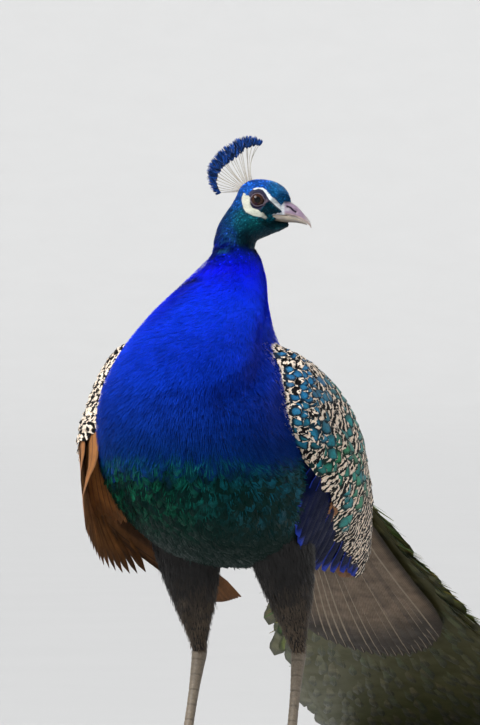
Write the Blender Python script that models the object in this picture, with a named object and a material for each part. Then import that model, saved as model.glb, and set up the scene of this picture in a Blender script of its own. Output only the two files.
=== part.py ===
"""Indian peafowl cock, life size, standing still with its head turned to its left and its train on the floor.

Built in metres with +Z up. The bird faces -Y and its left side is +X. The body is one lofted form whose
sections are cut by its own back line and belly line, divided into the parts that a person would name.
"""
import math

import bmesh
import bpy
import numpy as np
from mathutils import Matrix, Vector
from mathutils.bvhtree import BVHTree

# ---- Driving dimensions -------------------------------------------------------------------------
GAP = 0.0003               # clear space between neighbouring solids
AROUND = 24                # facets round the body and neck
HEAD_YAW = math.radians(18.0)   # the bill points along +X, turned back by this much towards +Y
HEAD_DEPTH = -0.020        # the head's middle plane, measured along the head's own left
HEAD_TWIST = -108.0        # degrees that the neck turns between the shoulders and the skull

EYE_AT = (0.0410, 0.6595)  # eye centre in the head's plane: forward, up
EYE_SIDE = 0.0124          # eye centre from the head's middle plane
EYE_RADIUS = 0.0088

BODY_ORIGIN = Vector((0.0, -0.030, 0.400))   # middle of the trunk, on its axis
BODY_PITCH = math.radians(30.0)              # the trunk's axis falls by this much towards the rump

HEEL = (0.058, 0.104, 0.158)     # left heel joint
ANKLE = (0.062, 0.050, 0.022)    # where the left shank meets the toes
SHANK_RADIUS = 0.0062
TOE_RADIUS = 0.0052
TRAIN_END = 1.50                 # rear end of the train behind the trunk's middle

# Stations of the trunk and neck, rump first: the back point (y, z), the belly point (y, z), the half
# width, the sideways shift, the turn in degrees and how much narrower the back is than the belly.
TRUNK_STATIONS = (
    ((0.330, 0.325), (0.322, 0.299), 0.018, 0.000, 0.0, 0.00),
    ((0.298, 0.364), (0.268, 0.280), 0.049, 0.000, 0.0, 0.05),
    ((0.245, 0.405), (0.198, 0.264), 0.076, 0.000, 0.0, 0.10),
    ((0.185, 0.441), (0.122, 0.257), 0.096, 0.000, 0.0, 0.14),
    ((0.130, 0.471), (0.045, 0.256), 0.104, 0.000, 0.0, 0.18),
    ((0.088, 0.492), (-0.035, 0.267), 0.107, 0.000, 0.0, 0.22),
    ((0.060, 0.510), (-0.103, 0.293), 0.108, 0.000, 0.0, 0.26),
    ((0.044, 0.526), (-0.153, 0.330), 0.107, 0.000, 0.0, 0.28),
    ((0.034, 0.542), (-0.183, 0.378), 0.100, 0.000, 0.0, 0.28),
    ((0.027, 0.558), (-0.192, 0.428), 0.087, 0.000, -6.0, 0.24),
    ((0.021, 0.574), (-0.176, 0.478), 0.069, 0.005, -18.0, 0.16),
    ((0.016, 0.590), (-0.132, 0.524), 0.050, 0.015, -38.0, 0.08),
    ((0.012, 0.604), (-0.080, 0.566), 0.035, 0.0205, -62.0, 0.02),
    ((0.010, 0.614), (-0.048, 0.594), 0.0245, 0.0220, -88.0, 0.00),
)
# Stations of the head in its own plane, neck first: the upper point (forward, up), the lower point
# (forward, up), the half width and how much narrower the crown is than the jaw.
HEAD_STATIONS = (
    ((-0.0065, 0.6148), (0.0380, 0.6070), 0.0222, 0.00),
    ((-0.0020, 0.6310), (0.0405, 0.6145), 0.0215, 0.00),
    ((0.0060, 0.6445), (0.0470, 0.6182), 0.0212, 0.02),
    ((0.0130, 0.6545), (0.0535, 0.6208), 0.0210, 0.05),
    ((0.0180, 0.6635), (0.0590, 0.6232), 0.0206, 0.08),
    ((0.0220, 0.6725), (0.0640, 0.6250), 0.0202, 0.10),
    ((0.0300, 0.6795), (0.0680, 0.6268), 0.0196, 0.12),
    ((0.0400, 0.6821), (0.0715, 0.6288), 0.0188, 0.12),
    ((0.0510, 0.6817), (0.0745, 0.6300), 0.0174, 0.12),
    ((0.0610, 0.6792), (0.0770, 0.6312), 0.0154, 0.10),
    ((0.0700, 0.6738), (0.0793, 0.6322), 0.0130, 0.06),
    ((0.0755, 0.6662), (0.0800, 0.6330), 0.0106, 0.02),
    ((0.0768, 0.6602), (0.0808, 0.6337), 0.0092, 0.00),
)
LAST_STATION = len(TRUNK_STATIONS) + len(HEAD_STATIONS) - 1
# The named parts of the body along the stations, counted on through both tables.
BODY_CUTS = (("rump", 0, 1.7), ("trunk", 1.7, 4.6), ("breast", 4.6, 8.4), ("neck_lower", 8.4, 10.3),
             ("neck_middle", 10.3, 12.2), ("neck_upper", 12.2, 15.0), ("head", 15.0, LAST_STATION))
RINGS_PER_STATION = {"rump": 2.4, "trunk": 1.7, "breast": 2.1, "neck_lower": 2.1, "neck_middle": 2.1,
                     "neck_upper": 1.8, "head": 1.3}

# Bill outlines in the head's plane: forward, up and half width along each edge.
CULMEN = ((0.060, 0.6560), (0.070, 0.6580), (0.0747, 0.6578), (0.0802, 0.6558), (0.0856, 0.6518),
          (0.0910, 0.6458), (0.0957, 0.6403), (0.0990, 0.6350), (0.1006, 0.6292))
MOUTH = ((0.054, 0.6420), (0.060, 0.6438), (0.069, 0.6438), (0.078, 0.6418), (0.086, 0.6398),
         (0.092, 0.6368), (0.0965, 0.6332), (0.0990, 0.6304), (0.1003, 0.6284))
KEEL = ((0.054, 0.6380), (0.063, 0.6362), (0.074, 0.6350), (0.083, 0.6348), (0.089, 0.6338),
        (0.0940, 0.6324), (0.0962, 0.6319))
BILL_WIDTH = ((0.054, 0.0082), (0.070, 0.0080), (0.078, 0.0072), (0.086, 0.0058), (0.092, 0.0044),
              (0.097, 0.0026), (0.1008, 0.0009))

# Crest: a fan of bare shafts with webbed tips, in polar form about a point in the head.
CREST_FOCUS = (0.038, 0.660)
CREST_SHAFTS = 12
CREST_ANGLES = (86.0, 168.0)
CREST_BASE = 0.0226
CREST_INNER = ((86, 0.0605), (92, 0.0590), (99, 0.0570), (108, 0.0530), (119, 0.0500), (130, 0.0505),
               (142, 0.0490), (152, 0.0450), (162, 0.0390), (168, 0.0350))
CREST_OUTER = ((86, 0.0650), (92, 0.0690), (99, 0.0690), (115, 0.0665), (130, 0.0645), (143, 0.0620),
               (152, 0.0565), (162, 0.0475), (168, 0.0415))

# Folded wing over the trunk, along the trunk's axis: half width, height above the axis and its shift.
WING_WIDTH = ((-0.10, 0.118), (-0.05, 0.132), (0.00, 0.142), (0.06, 0.146), (0.12, 0.140), (0.18, 0.127),
              (0.25, 0.110), (0.31, 0.093), (0.39, 0.066))
WING_HEIGHT = ((-0.10, 0.104), (0.00, 0.118), (0.08, 0.121), (0.16, 0.112), (0.24, 0.099), (0.31, 0.085),
               (0.39, 0.066))
WING_SQUARE = 0.80         # below 1, the wing's section is squarer than an ellipse
WING_TUCK = {"left": 0.14, "right": -0.07}   # how far the lower edge is drawn in, as a share of its reach
PRIMARY_START = {"left": 0.050, "right": -0.015}   # front end of the primaries, along the trunk's axis
WING_RISE = ((-0.10, -0.005), (0.00, 0.000), (0.12, 0.008), (0.24, 0.026), (0.39, 0.040))
# Each band of the wing: name, facets along and across, edges in degrees from the back as functions of
# the distance along the axis, front and rear ends, and the rounding of those ends.
WING_BANDS = (
    ("wing_coverts", 13, 9, ((-0.10, 34), (0.02, 25), (0.15, 27), (0.32, 44)),
     ((-0.10, 92), (0.05, 88), (0.20, 82), (0.32, 74)), -0.090, 0.315, 0.030, 0.055),
    ("wing_secondaries", 12, 4, ((-0.10, 92.5), (0.05, 88.5), (0.20, 82.5), (0.36, 74)),
     ((-0.10, 100), (0.10, 105), (0.25, 101), (0.36, 90)), -0.045, 0.350, 0.010, 0.020),
    ("wing_primaries", 12, 4, ((-0.10, 100.5), (0.10, 105.5), (0.25, 101.5), (0.39, 90)),
     ((-0.10, 106), (0.05, 117), (0.15, 121), (0.28, 116), (0.39, 103)), -0.015, 0.385, 0.006, 0.030),
)
WING_DEPTH = ((-0.10, 0.030), (0.10, 0.034), (0.20, 0.020), (0.30, 0.008), (0.39, 0.003))

# Train: centre line heights of its upper and under side, and its half width, along y.
TRAIN_TOP = ((0.150, 0.4720), (0.20, 0.4600), (0.26, 0.4400), (0.33, 0.4020), (0.45, 0.3200),
             (0.60, 0.2220), (0.75, 0.1430), (0.90, 0.0880), (1.05, 0.0570), (1.20, 0.0400),
             (1.35, 0.0270), (1.50, 0.0080))
TRAIN_UNDER = ((0.150, 0.3000), (0.26, 0.3200), (0.33, 0.3390), (0.45, 0.2620), (0.60, 0.1700),
               (0.75, 0.0960), (0.90, 0.0380), (0.98, 0.0120), (1.04, 0.0000), (1.50, 0.0000))
TRAIN_WIDTH = ((0.150, 0.020), (0.20, 0.038), (0.26, 0.045), (0.33, 0.052), (0.42, 0.072), (0.55, 0.108),
               (0.70, 0.138), (0.90, 0.162), (1.10, 0.172), (1.28, 0.155), (1.40, 0.122), (1.47, 0.080),
               (1.50, 0.030))
TRAIN_CUTS = (("train_base", 0.150, 0.420, 10), ("train_upper", 0.420, 0.760, 6),
              ("train_middle", 0.760, 1.080, 7), ("train_end", 1.080, 1.500, 9))
TAIL_SPAN = (0.340, 0.680)
TAIL_WIDTH = ((0.340, 0.030), (0.50, 0.068), (0.62, 0.088), (0.68, 0.066))

COLOURS = {
    "blue_plumage": ((0.004, 0.018, 0.420), 0.45, 0.0),
    "green_plumage": ((0.010, 0.080, 0.060), 0.45, 0.0),
    "barred_plumage": ((0.420, 0.360, 0.230), 0.60, 0.0),
    "chestnut_plumage": ((0.420, 0.160, 0.050), 0.60, 0.0),
    "train_plumage": ((0.090, 0.180, 0.040), 0.50, 0.0),
    "dark_plumage": ((0.020, 0.020, 0.028), 0.60, 0.0),
    "horn": ((0.420, 0.360, 0.340), 0.40, 0.0),
    "eye": ((0.045, 0.020, 0.010), 0.08, 0.0),
    "leg_scales": ((0.200, 0.165, 0.130), 0.55, 0.0),
}


# ---- Shape helpers ------------------------------------------------------------------------------
def smooth_rows(keys, at):
    """Read rows of numbers at positions `at`, on a smooth curve through rows that are one step apart."""
    rows = np.asarray(keys, dtype=float)
    ends = np.vstack([2 * rows[0] - rows[1], rows, 2 * rows[-1] - rows[-2]])
    i = np.clip(np.floor(at).astype(int), 0, len(rows) - 2)
    t = (np.asarray(at) - i)[:, None]
    a, b, c, d = ends[i], ends[i + 1], ends[i + 2], ends[i + 3]
    return 0.5 * (2 * b + (c - a) * t + (2 * a - 5 * b + 4 * c - d) * t ** 2
                  + (3 * b - a - 3 * c + d) * t ** 3)


def curve(keys, at):
    """Read a smooth single-valued curve through (position, value) keys, flat beyond its ends."""
    xs, ys = np.array([k[0] for k in keys], float), np.array([k[1] for k in keys], float)
    at = np.clip(np.asarray(at, dtype=float), xs[0], xs[-1])
    slopes = np.gradient(ys, xs)
    i = np.clip(np.searchsorted(xs, at) - 1, 0, len(xs) - 2)
    h = xs[i + 1] - xs[i]
    t = (at - xs[i]) / h
    return ((2 * t ** 3 - 3 * t ** 2 + 1) * ys[i] + (t ** 3 - 2 * t ** 2 + t) * h * slopes[i]
            + (3 * t ** 2 - 2 * t ** 3) * ys[i + 1] + (t ** 3 - t ** 2) * h * slopes[i + 1])


def material(slot):
    """Make, or find, the Principled material of a named finish."""
    if slot in bpy.data.materials:
        return bpy.data.materials[slot]
    colour, roughness, metallic = COLOURS[slot]
    made = bpy.data.materials.new(slot)
    made.use_nodes = True
    shader = made.node_tree.nodes["Principled BSDF"]
    shader.inputs["Base Color"].default_value = (*colour, 1.0)
    shader.inputs["Roughness"].default_value = roughness
    shader.inputs["Metallic"].default_value = metallic
    return made


def add_object(name, verts, faces, slot, guide=False):
    """Make one named object from points and faces, with its normals turned outwards."""
    mesh = bpy.data.meshes.new(name)
    mesh.from_pydata([tuple(map(float, v)) for v in verts], [], faces)
    form = bmesh.new()
    form.from_mesh(mesh)
    bmesh.ops.recalc_face_normals(form, faces=form.faces)
    bmesh.ops.triangulate(form, faces=[f for f in form.faces if len(f.verts) > 3])
    form.to_mesh(mesh)
    form.free()
    mesh.shade_smooth()
    mesh.materials.append(material(slot))
    made = bpy.data.objects.new(name, mesh)
    bpy.context.collection.objects.link(made)
    if guide:
        made.hide_render = True
        made.display_type = "WIRE"
    return made


def loft(rings, cap_start=True, cap_end=True):
    """Join closed rings of points (rings, around, 3) into one closed form with a fan at each end."""
    count, around = rings.shape[:2]
    verts = list(rings.reshape(-1, 3))
    faces = [(r * around + k, r * around + (k + 1) % around, (r + 1) * around + (k + 1) % around,
              (r + 1) * around + k) for r in range(count - 1) for k in range(around)]
    for ring, wanted in ((0, cap_start), (count - 1, cap_end)):
        if wanted:
            verts.append(rings[ring].mean(axis=0))
            centre = len(verts) - 1
            faces += [(ring * around + k, ring * around + (k + 1) % around, centre) for k in range(around)]
    return verts, faces


def slab(outer, inner):
    """Close two grids of points (rows, columns, 3) that lie over each other into one thick sheet."""
    rows, columns = outer.shape[:2]
    verts = np.concatenate([outer.reshape(-1, 3), inner.reshape(-1, 3)])
    under = rows * columns

    def at(r, c):
        return r * columns + c

    faces = []
    for r in range(rows - 1):
        for c in range(columns - 1):
            quad = (at(r, c), at(r, c + 1), at(r + 1, c + 1), at(r + 1, c))
            faces += [quad, tuple(under + k for k in reversed(quad))]
    rim = ([at(0, c) for c in range(columns)] + [at(r, columns - 1) for r in range(1, rows)]
           + [at(rows - 1, c) for c in range(columns - 2, -1, -1)] + [at(r, 0) for r in range(rows - 2, 0, -1)])
    faces += [(a, b, under + b, under + a) for a, b in zip(rim, rim[1:] + rim[:1])]
    return verts, faces


def cut(target, cutter):
    """Subtract a guide form from an object for good."""
    step = target.modifiers.new("cut", "BOOLEAN")
    step.operation = "DIFFERENCE"
    step.solver = "EXACT"
    step.object = cutter


# ---- Body ---------------------------------------------------------------------------------------
def head_point(forward, up, side=0.0):
    """Place a point of the head: forward along the bill, up, and to the head's own left."""
    ahead = np.array([math.cos(HEAD_YAW), math.sin(HEAD_YAW), 0.0])
    left = np.array([-math.sin(HEAD_YAW), math.cos(HEAD_YAW), 0.0])
    forward, up, side = np.broadcast_arrays(np.asarray(forward, float), up, side)
    return (forward[..., None] * ahead + (HEAD_DEPTH + side[..., None]) * left
            + up[..., None] * np.array([0.0, 0.0, 1.0]))


def body_rows():
    """Turn both station tables into rows: centre, back-pointing and left-pointing half axes, narrowing."""
    rows = []
    for (back_y, back_z), (belly_y, belly_z), half, shift, twist, narrow in TRUNK_STATIONS:
        back, belly = np.array([shift, back_y, back_z]), np.array([shift, belly_y, belly_z])
        up, left = (back - belly) / 2, np.array([half, 0.0, 0.0])
        turn = math.radians(twist)
        rows.append(np.concatenate([(back + belly) / 2, up * math.cos(turn) + left * math.sin(turn),
                                    left * math.cos(turn) - up * math.sin(turn), [narrow]]))
    for top, bottom, half, narrow in HEAD_STATIONS:
        back, belly = head_point(*top), head_point(*bottom)
        left = head_point(0.0, 0.0, 1.0) - head_point(0.0, 0.0, 0.0)
        rows.append(np.concatenate([(back + belly) / 2, (back - belly) / 2, left * half, [narrow]]))
    return np.array(rows)


def body_rings(stations, swell=0.0, around=AROUND):
    """Rings of the body: centre + back axis * cos + left axis * sin * (1 - narrowing * cos), swollen."""
    row = smooth_rows(body_rows(), stations)
    angle = np.linspace(0, 2 * math.pi, around, endpoint=False)[None, :, None]
    centre, up, left, narrow = (row[:, None, k] for k in (slice(0, 3), slice(3, 6), slice(6, 9), slice(9, 10)))
    grown_up = up * (1 + swell / np.linalg.norm(up, axis=2, keepdims=True))
    grown_left = left * (1 + swell / np.linalg.norm(left, axis=2, keepdims=True))
    return centre + grown_up * np.cos(angle) + grown_left * np.sin(angle) * (1 - narrow * np.cos(angle))


def station_steps(name, low, high):
    """Ring positions of one body part, drawn in by a hair's breadth where it meets its neighbour."""
    inset = 0.014
    start = low if low == 0 else low + inset
    end = high if high == LAST_STATION else high - inset
    return np.linspace(start, end, max(4, int(round((high - low) * RINGS_PER_STATION[name]))) + 1)


def make_body():
    """Build rump, trunk, breast, neck and head as neighbouring lengths of one form."""
    slots = {"rump": "green_plumage", "trunk": "green_plumage"}
    made = {}
    for name, low, high in BODY_CUTS:
        verts, faces = loft(body_rings(station_steps(name, low, high)))
        made[name] = add_object(name, verts, faces, slots.get(name, "blue_plumage"))
    return made


# ---- Head ---------------------------------------------------------------------------------------
def bill_half(edge_a, edge_b, ahead, swell):
    """Rings of half a bill between two edges: a half ellipse over a flat mouth face."""
    a, b = curve(edge_a, ahead), curve(edge_b, ahead)
    half = curve(BILL_WIDTH, ahead) + swell
    angle = np.linspace(-math.pi / 2, math.pi / 2, 9)[None, :]
    grow = np.sign(b - a) * swell
    up = (a - grow)[:, None] + (b - a + 2 * grow)[:, None] * np.cos(angle)
    return head_point(ahead[:, None] + 0 * angle, up, half[:, None] * np.sin(angle))


def make_bill(head):
    """Build the upper and lower bill and hollow the face where their roots sit."""
    parts = {"upper_bill": (MOUTH, CULMEN, np.linspace(0.0615, 0.1003, 12)),
             "lower_bill": ([(x, z - GAP * 1.4) for x, z in MOUTH], KEEL, np.linspace(0.0605, 0.0950, 9))}
    for name, (mouth, edge, ahead) in parts.items():
        verts, faces = loft(bill_half(mouth, edge, ahead, 0.0))
        add_object(name, verts, faces, "horn")
        wide = np.linspace(ahead[0] - 0.0004, 0.0835, 5)
        verts, faces = loft(bill_half(mouth, edge, wide, 0.00045))
        cut(head, add_object(name + "_root", verts, faces, "horn", guide=True))


def ball(centre, radius, around=12, rows=8):
    """Points and faces of a ball with its poles to the sides of the head."""
    latitude = np.linspace(0, math.pi, rows + 1)[1:-1, None]
    longitude = np.linspace(0, 2 * math.pi, around, endpoint=False)[None, :]
    ahead = centre[0] + radius * np.sin(latitude) * np.cos(longitude)
    up = centre[1] + radius * np.sin(latitude) * np.sin(longitude)
    side = centre[2] + radius * np.cos(latitude) + 0 * longitude
    verts, faces = loft(head_point(ahead, up, side), False, False)
    count, last = len(verts), (rows - 2) * around
    verts += [head_point(centre[0], centre[1], centre[2] + radius),
              head_point(centre[0], centre[1], centre[2] - radius)]
    faces += [(k, (k + 1) % around, count) for k in range(around)]
    faces += [(last + k, last + (k + 1) % around, count + 1) for k in range(around)]
    return verts, faces


def make_eyes(head):
    """Set an eyeball in a round socket on each side of the head."""
    for name, side in (("left_eye", 1), ("right_eye", -1)):
        centre = (EYE_AT[0], EYE_AT[1], side * EYE_SIDE)
        add_object(name, *ball(centre, EYE_RADIUS), "eye")
        cut(head, add_object(name + "_socket", *ball(centre, EYE_RADIUS + 0.0004), "eye", guide=True))


def make_crest():
    """Build the crest: a low arc on the crown, bare shafts, and the webbed tips joined in a band."""
    centres = np.linspace(*CREST_ANGLES, CREST_SHAFTS)
    half_shaft, half_web = 0.0006, 0.0013
    sides = np.repeat([[-1.0, 1.0]], CREST_SHAFTS, axis=0).ravel()
    angle = np.repeat(centres, 2)
    inner, outer = curve(CREST_INNER, angle), curve(CREST_OUTER, angle)
    scallop = np.tile([0.0, 0.0008], CREST_SHAFTS)
    radii = [np.full_like(angle, CREST_BASE), np.full_like(angle, CREST_BASE + 0.0014), inner,
             (inner + outer) / 2, outer + scallop]
    halves = [half_shaft, half_shaft, half_shaft, half_web, half_shaft]
    front, back = [], []
    for radius, half in zip(radii, halves):
        turned = np.radians(angle) + sides * half_shaft / radius
        ahead = CREST_FOCUS[0] + radius * np.cos(turned)
        up = CREST_FOCUS[1] + radius * np.sin(turned)
        front.append(head_point(ahead, up, -half))
        back.append(head_point(ahead, up, half))
    columns, rows = len(angle), len(radii)
    cells = [(r, c) for r in range(rows - 1) for c in range(columns - 1) if r != 1 or c % 2 == 0]
    verts = np.concatenate([np.array(front).reshape(-1, 3), np.array(back).reshape(-1, 3)])
    under = rows * columns
    faces, edges = [], {}
    for r, c in cells:
        quad = (r * columns + c, r * columns + c + 1, (r + 1) * columns + c + 1, (r + 1) * columns + c)
        faces += [quad, tuple(under + k for k in reversed(quad))]
        for a, b in zip(quad, quad[1:] + quad[:1]):
            edges[frozenset((a, b))] = edges.get(frozenset((a, b)), []) + [(a, b)]
    faces += [(b, a, under + a, under + b) for found in edges.values() if len(found) == 1 for a, b in found]
    add_object("crest", verts, faces, "blue_plumage")


# ---- Wings --------------------------------------------------------------------------------------
def trunk_probe():
    """A search tree over the whole body, for shells that lie against it."""
    verts, faces = loft(body_rings(np.linspace(0, LAST_STATION, 90), around=64))
    return BVHTree.FromPolygons([Vector(v) for v in verts], faces)


def wing_shell(probe, along, degrees, side, tuck):
    """Outer and inner points of a folded wing at a distance along the trunk and an angle from the back."""
    axis_back = Vector((0.0, math.cos(BODY_PITCH), -math.sin(BODY_PITCH)))
    axis_up = Vector((0.0, math.sin(BODY_PITCH), math.cos(BODY_PITCH)))
    outer, inner = np.zeros((*along.shape, 3)), np.zeros((*along.shape, 3))
    edge_shape = along.shape
    for r in range(edge_shape[0]):
        for c in range(edge_shape[1]):
            a, phi = along[r, c], math.radians(degrees[r, c])
            hub = BODY_ORIGIN + axis_back * a + axis_up * float(curve(WING_RISE, [a])[0])
            across = math.sin(phi) ** WING_SQUARE * float(curve(WING_WIDTH, [a])[0])
            over = math.copysign(abs(math.cos(phi)) ** WING_SQUARE, math.cos(phi))
            ray = Vector((side * across, 0, 0)) + axis_up * over * float(curve(WING_HEIGHT, [a])[0])
            reach = ray.length * (1 - tuck * min(max((degrees[r, c] - 90) / 30, 0), 1))
            hit = probe.ray_cast(hub, ray.normalized(), 0.5)
            body = hit[3] if hit[0] is not None else 0.0
            border = r in (0, edge_shape[0] - 1) or c in (0, edge_shape[1] - 1)
            thinnest = 0.0012 if border else 0.0035
            low = max(body + 0.0016, reach - float(curve(WING_DEPTH, [a])[0]))
            high = max(reach, low + thinnest)
            if border:
                low = max(low, high - 0.004)
            outer[r, c] = hub + ray.normalized() * high
            inner[r, c] = hub + ray.normalized() * low
    return outer, inner


def make_wings():
    """Build each folded wing as three bands: coverts over the shoulder, secondaries and primaries."""
    probe = trunk_probe()
    slots = {"wing_coverts": "barred_plumage", "wing_secondaries": "dark_plumage",
             "wing_primaries": "chestnut_plumage"}
    for side_name, side in (("left", 1), ("right", -1)):
        for name, steps, strips, top, low, front, rear, round_front, round_rear in WING_BANDS:
            front = PRIMARY_START[side_name] if name == "wing_primaries" else front
            t, v = np.meshgrid(np.linspace(0, 1, steps), np.linspace(0, 1, strips))
            bulge = (2 * v - 1) ** 2
            along = front + round_front * bulge + t * (rear - front - (round_front + round_rear) * bulge)
            degrees = curve(top, along) * (1 - v) + curve(low, along) * v
            outer, inner = wing_shell(probe, along, degrees, side, WING_TUCK[side_name])
            add_object(f"{side_name}_{name}", *slab(outer, inner), slots[name])


# ---- Legs ---------------------------------------------------------------------------------------
def tube(path, radii, around=10, floor=None, level_end=None, beside=(0.0, 0.0, 1.0)):
    """Rings of a round limb along a path; points below `floor` are laid flat on it.

    The ring numbered `level_end` is turned level, for a joint with another limb. `beside` is a direction
    that the path never takes.
    """
    path, radii = np.asarray(path, float), np.asarray(radii, float)
    ahead = np.gradient(path, axis=0)
    ahead /= np.linalg.norm(ahead, axis=1)[:, None]
    if level_end is not None:
        ahead[level_end] = (0.0, 0.0, -1.0)
    across = np.cross(ahead, beside)
    across /= np.linalg.norm(across, axis=1)[:, None]
    over = np.cross(across, ahead)
    angle = (np.linspace(0, 2 * math.pi, around, endpoint=False) + math.pi / around)[None, :, None]
    rings = (path[:, None, :] + radii[:, None, None] * (across[:, None, :] * np.cos(angle)
             + over[:, None, :] * np.sin(angle)))
    if floor is not None:
        rings[..., 2] = np.maximum(rings[..., 2], floor)
    return rings


def make_thigh(side_name, side):
    """Build one feathered thigh, from the flank to the heel, hollowed where the trunk lies."""
    heel = np.array(HEEL) * [side, 1, 1]
    hip = np.array([side * 0.053, 0.020, 0.330])
    t = np.linspace(0, 1, 8)
    path = hip + (heel - hip) * t[:, None] + np.array([0, 0.006, 0]) * np.sin(math.pi * t)[:, None]
    radii = curve(((0, 0.042), (0.35, 0.037), (0.7, 0.023), (0.9, 0.0125), (1.0, 0.0085)), t)
    path[-1, 2] += 0.0010
    verts, faces = loft(tube(path, radii, 14, level_end=-1, beside=(0.0, 1.0, 0.0)))
    thigh = add_object(f"{side_name}_thigh", verts, faces, "dark_plumage")
    verts, faces = loft(body_rings(np.linspace(0, 9, 19), swell=0.0010))
    cut(thigh, add_object(f"{side_name}_flank", verts, faces, "dark_plumage", guide=True))


def make_shank(side_name, side):
    """Build one bare shank from under the heel to above the toes."""
    heel, ankle = np.array(HEEL) * [side, 1, 1], np.array(ANKLE) * [side, 1, 1]
    ahead = (ankle - heel) / np.linalg.norm(ankle - heel)
    top, foot = heel, ankle - ahead * 0.0006
    t = np.linspace(0, 1, 8)
    swell = curve(((0, 1.30), (0.12, 1.15), (0.3, 0.92), (0.7, 0.90), (0.9, 1.05), (1, 1.15)), t)
    path = top + (foot - top) * t[:, None]
    verts, faces = loft(tube(path, SHANK_RADIUS * swell, 10, level_end=0, beside=(0.0, 1.0, 0.0)))
    add_object(f"{side_name}_shank", verts, faces, "leg_scales")
    back = np.cross(ahead, [side, 0, 0]) * side
    back = back if back[1] > 0 else -back
    root = top + (foot - top) * 0.62 + back * (SHANK_RADIUS + 0.0005)
    k = np.linspace(0, 1, 4)[:, None]
    spur = root + back * 0.021 * k + np.array([0, 0, 0.006]) * k ** 2
    verts, faces = loft(tube(spur, np.linspace(0.0042, 0.0007, 4), 8))
    add_object(f"{side_name}_spur", verts, faces, "horn")


def toe_paths(side):
    """Each toe of a foot: name, heading in degrees from straight ahead, length and rise at its root."""
    return (("inner", -30.0 * side, 0.046), ("middle", 3.0 * side, 0.062), ("outer", 34.0 * side, 0.049),
            ("hind", 170.0 * side, 0.024))


def make_foot(side_name, side):
    """Build one foot as four padded toes joined at a hub, flat beneath, with a claw at each tip."""
    hub = np.array([side * ANKLE[0], ANKLE[1] - 0.006, 0.0])
    stem = np.array(ANKLE) * [side, 1, 1]
    rise = np.linspace(0, 1, 5)[:, None]
    path = (hub + [0, 0, 0.0045]) * (1 - rise) + (stem - [0, 0, 0.0012]) * rise
    verts, faces = loft(tube(path, np.linspace(0.0098, 0.0074, 5), 10, floor=0.0, beside=(0.0, 1.0, 0.0)))
    foot = add_object(f"{side_name}_foot", verts, faces, "leg_scales")
    for name, heading, length in toe_paths(side):
        turn = math.radians(heading)
        ahead = np.array([math.sin(turn), -math.cos(turn), 0.0])
        t = np.linspace(0, 1, 5)
        pads = 1 + 0.10 * np.abs(np.sin(3 * math.pi * t)) - 0.30 * t
        radii = TOE_RADIUS * pads
        lift = 0.75 * radii
        path = hub + ahead * (0.002 + length * t[:, None]) + np.array([0, 0, 1]) * lift[:, None]
        verts, faces = loft(tube(path, radii, 8, floor=0.0))
        guide = add_object(f"{side_name}_{name}_toe", verts, faces, "leg_scales", guide=True)
        joined = foot.modifiers.new(name, "BOOLEAN")
        joined.operation, joined.solver, joined.object = "UNION", "EXACT", guide
        tip = hub + ahead * (0.002 + length + GAP * 1.5)
        k = np.linspace(0, 1, 4)[:, None]
        bend = np.array([0, 0, 1]) * (0.0040 - 0.0030 * k ** 1.5)
        claw = tip + ahead * 0.0135 * k + bend
        verts, faces = loft(tube(claw, np.linspace(0.0027, 0.0006, 4), 6, floor=0.0002))
        add_object(f"{side_name}_{name}_claw", verts, faces, "horn")


# ---- Tail and train -----------------------------------------------------------------------------
def train_grids(start, end, steps, probe):
    """Upper and under grids of a length of the train: crowned above, flat beneath, thin at its edges."""
    y, v = np.meshgrid(np.linspace(start, end, steps), np.linspace(-1, 1, 7), indexing="ij")
    half = curve(TRAIN_WIDTH, y)
    x = half * np.sin(v * math.pi / 2)
    crown = np.cos(v * math.pi / 2) ** 1.3
    under_mid, top_mid = np.maximum(curve(TRAIN_UNDER, y), 0.0), curve(TRAIN_TOP, y)
    under = under_mid + 0 * x
    for index in np.ndindex(*y.shape):
        for inward, ahead in ((1.0, 0.0), (0.88, 0.0), (1.0, 0.018), (0.88, 0.018)):
            hit = probe.ray_cast(Vector((x[index] * inward, y[index] - ahead, 1.0)), Vector((0, 0, -1)), 2.0)
            if hit[0] is not None:
                under[index] = max(under[index], hit[0].z + 0.0018)
    edge = under + 0.0030
    top = np.maximum(edge + (np.maximum(top_mid, edge + 0.001) - edge) * crown, edge)
    return np.stack([x, y, top], axis=2), np.stack([x, y, under], axis=2)


def make_train():
    """Build the train in four lengths, from the back between the wings to its end on the floor."""
    verts, faces = loft(body_rings(np.linspace(0, 9, 50), around=64))
    probe = BVHTree.FromPolygons([Vector(v) for v in verts], faces)
    for name, start, end, steps in TRAIN_CUTS:
        last = end >= TRAIN_END
        top, under = train_grids(start + GAP / 2, end if last else end - GAP / 2, steps, probe)
        add_object(name, *slab(top, under), "train_plumage")


def make_tail():
    """Build the short stiff tail that carries the train from below."""
    y, v = np.meshgrid(np.linspace(*TAIL_SPAN, 8), np.linspace(-1, 1, 7), indexing="ij")
    x = curve(TAIL_WIDTH, y) * v
    top = curve(TRAIN_UNDER, y) - 0.0030 - 0.004 * v ** 2
    add_object("tail", *slab(np.stack([x, y, top], 2), np.stack([x, y, top - 0.005], 2)), "dark_plumage")


def centre_on_origin():
    """Move every form so that the bird's box stands centred on the origin."""
    solids = [o for o in bpy.data.objects if o.type == "MESH" and not o.hide_render]
    points = np.concatenate([np.array([v.co for v in o.data.vertices]) for o in solids])
    shift = -(points.min(axis=0) + points.max(axis=0)) / 2
    for made in bpy.data.objects:
        if made.type == "MESH":
            made.data.transform(Matrix.Translation((shift[0], shift[1], 0.0)))


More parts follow.
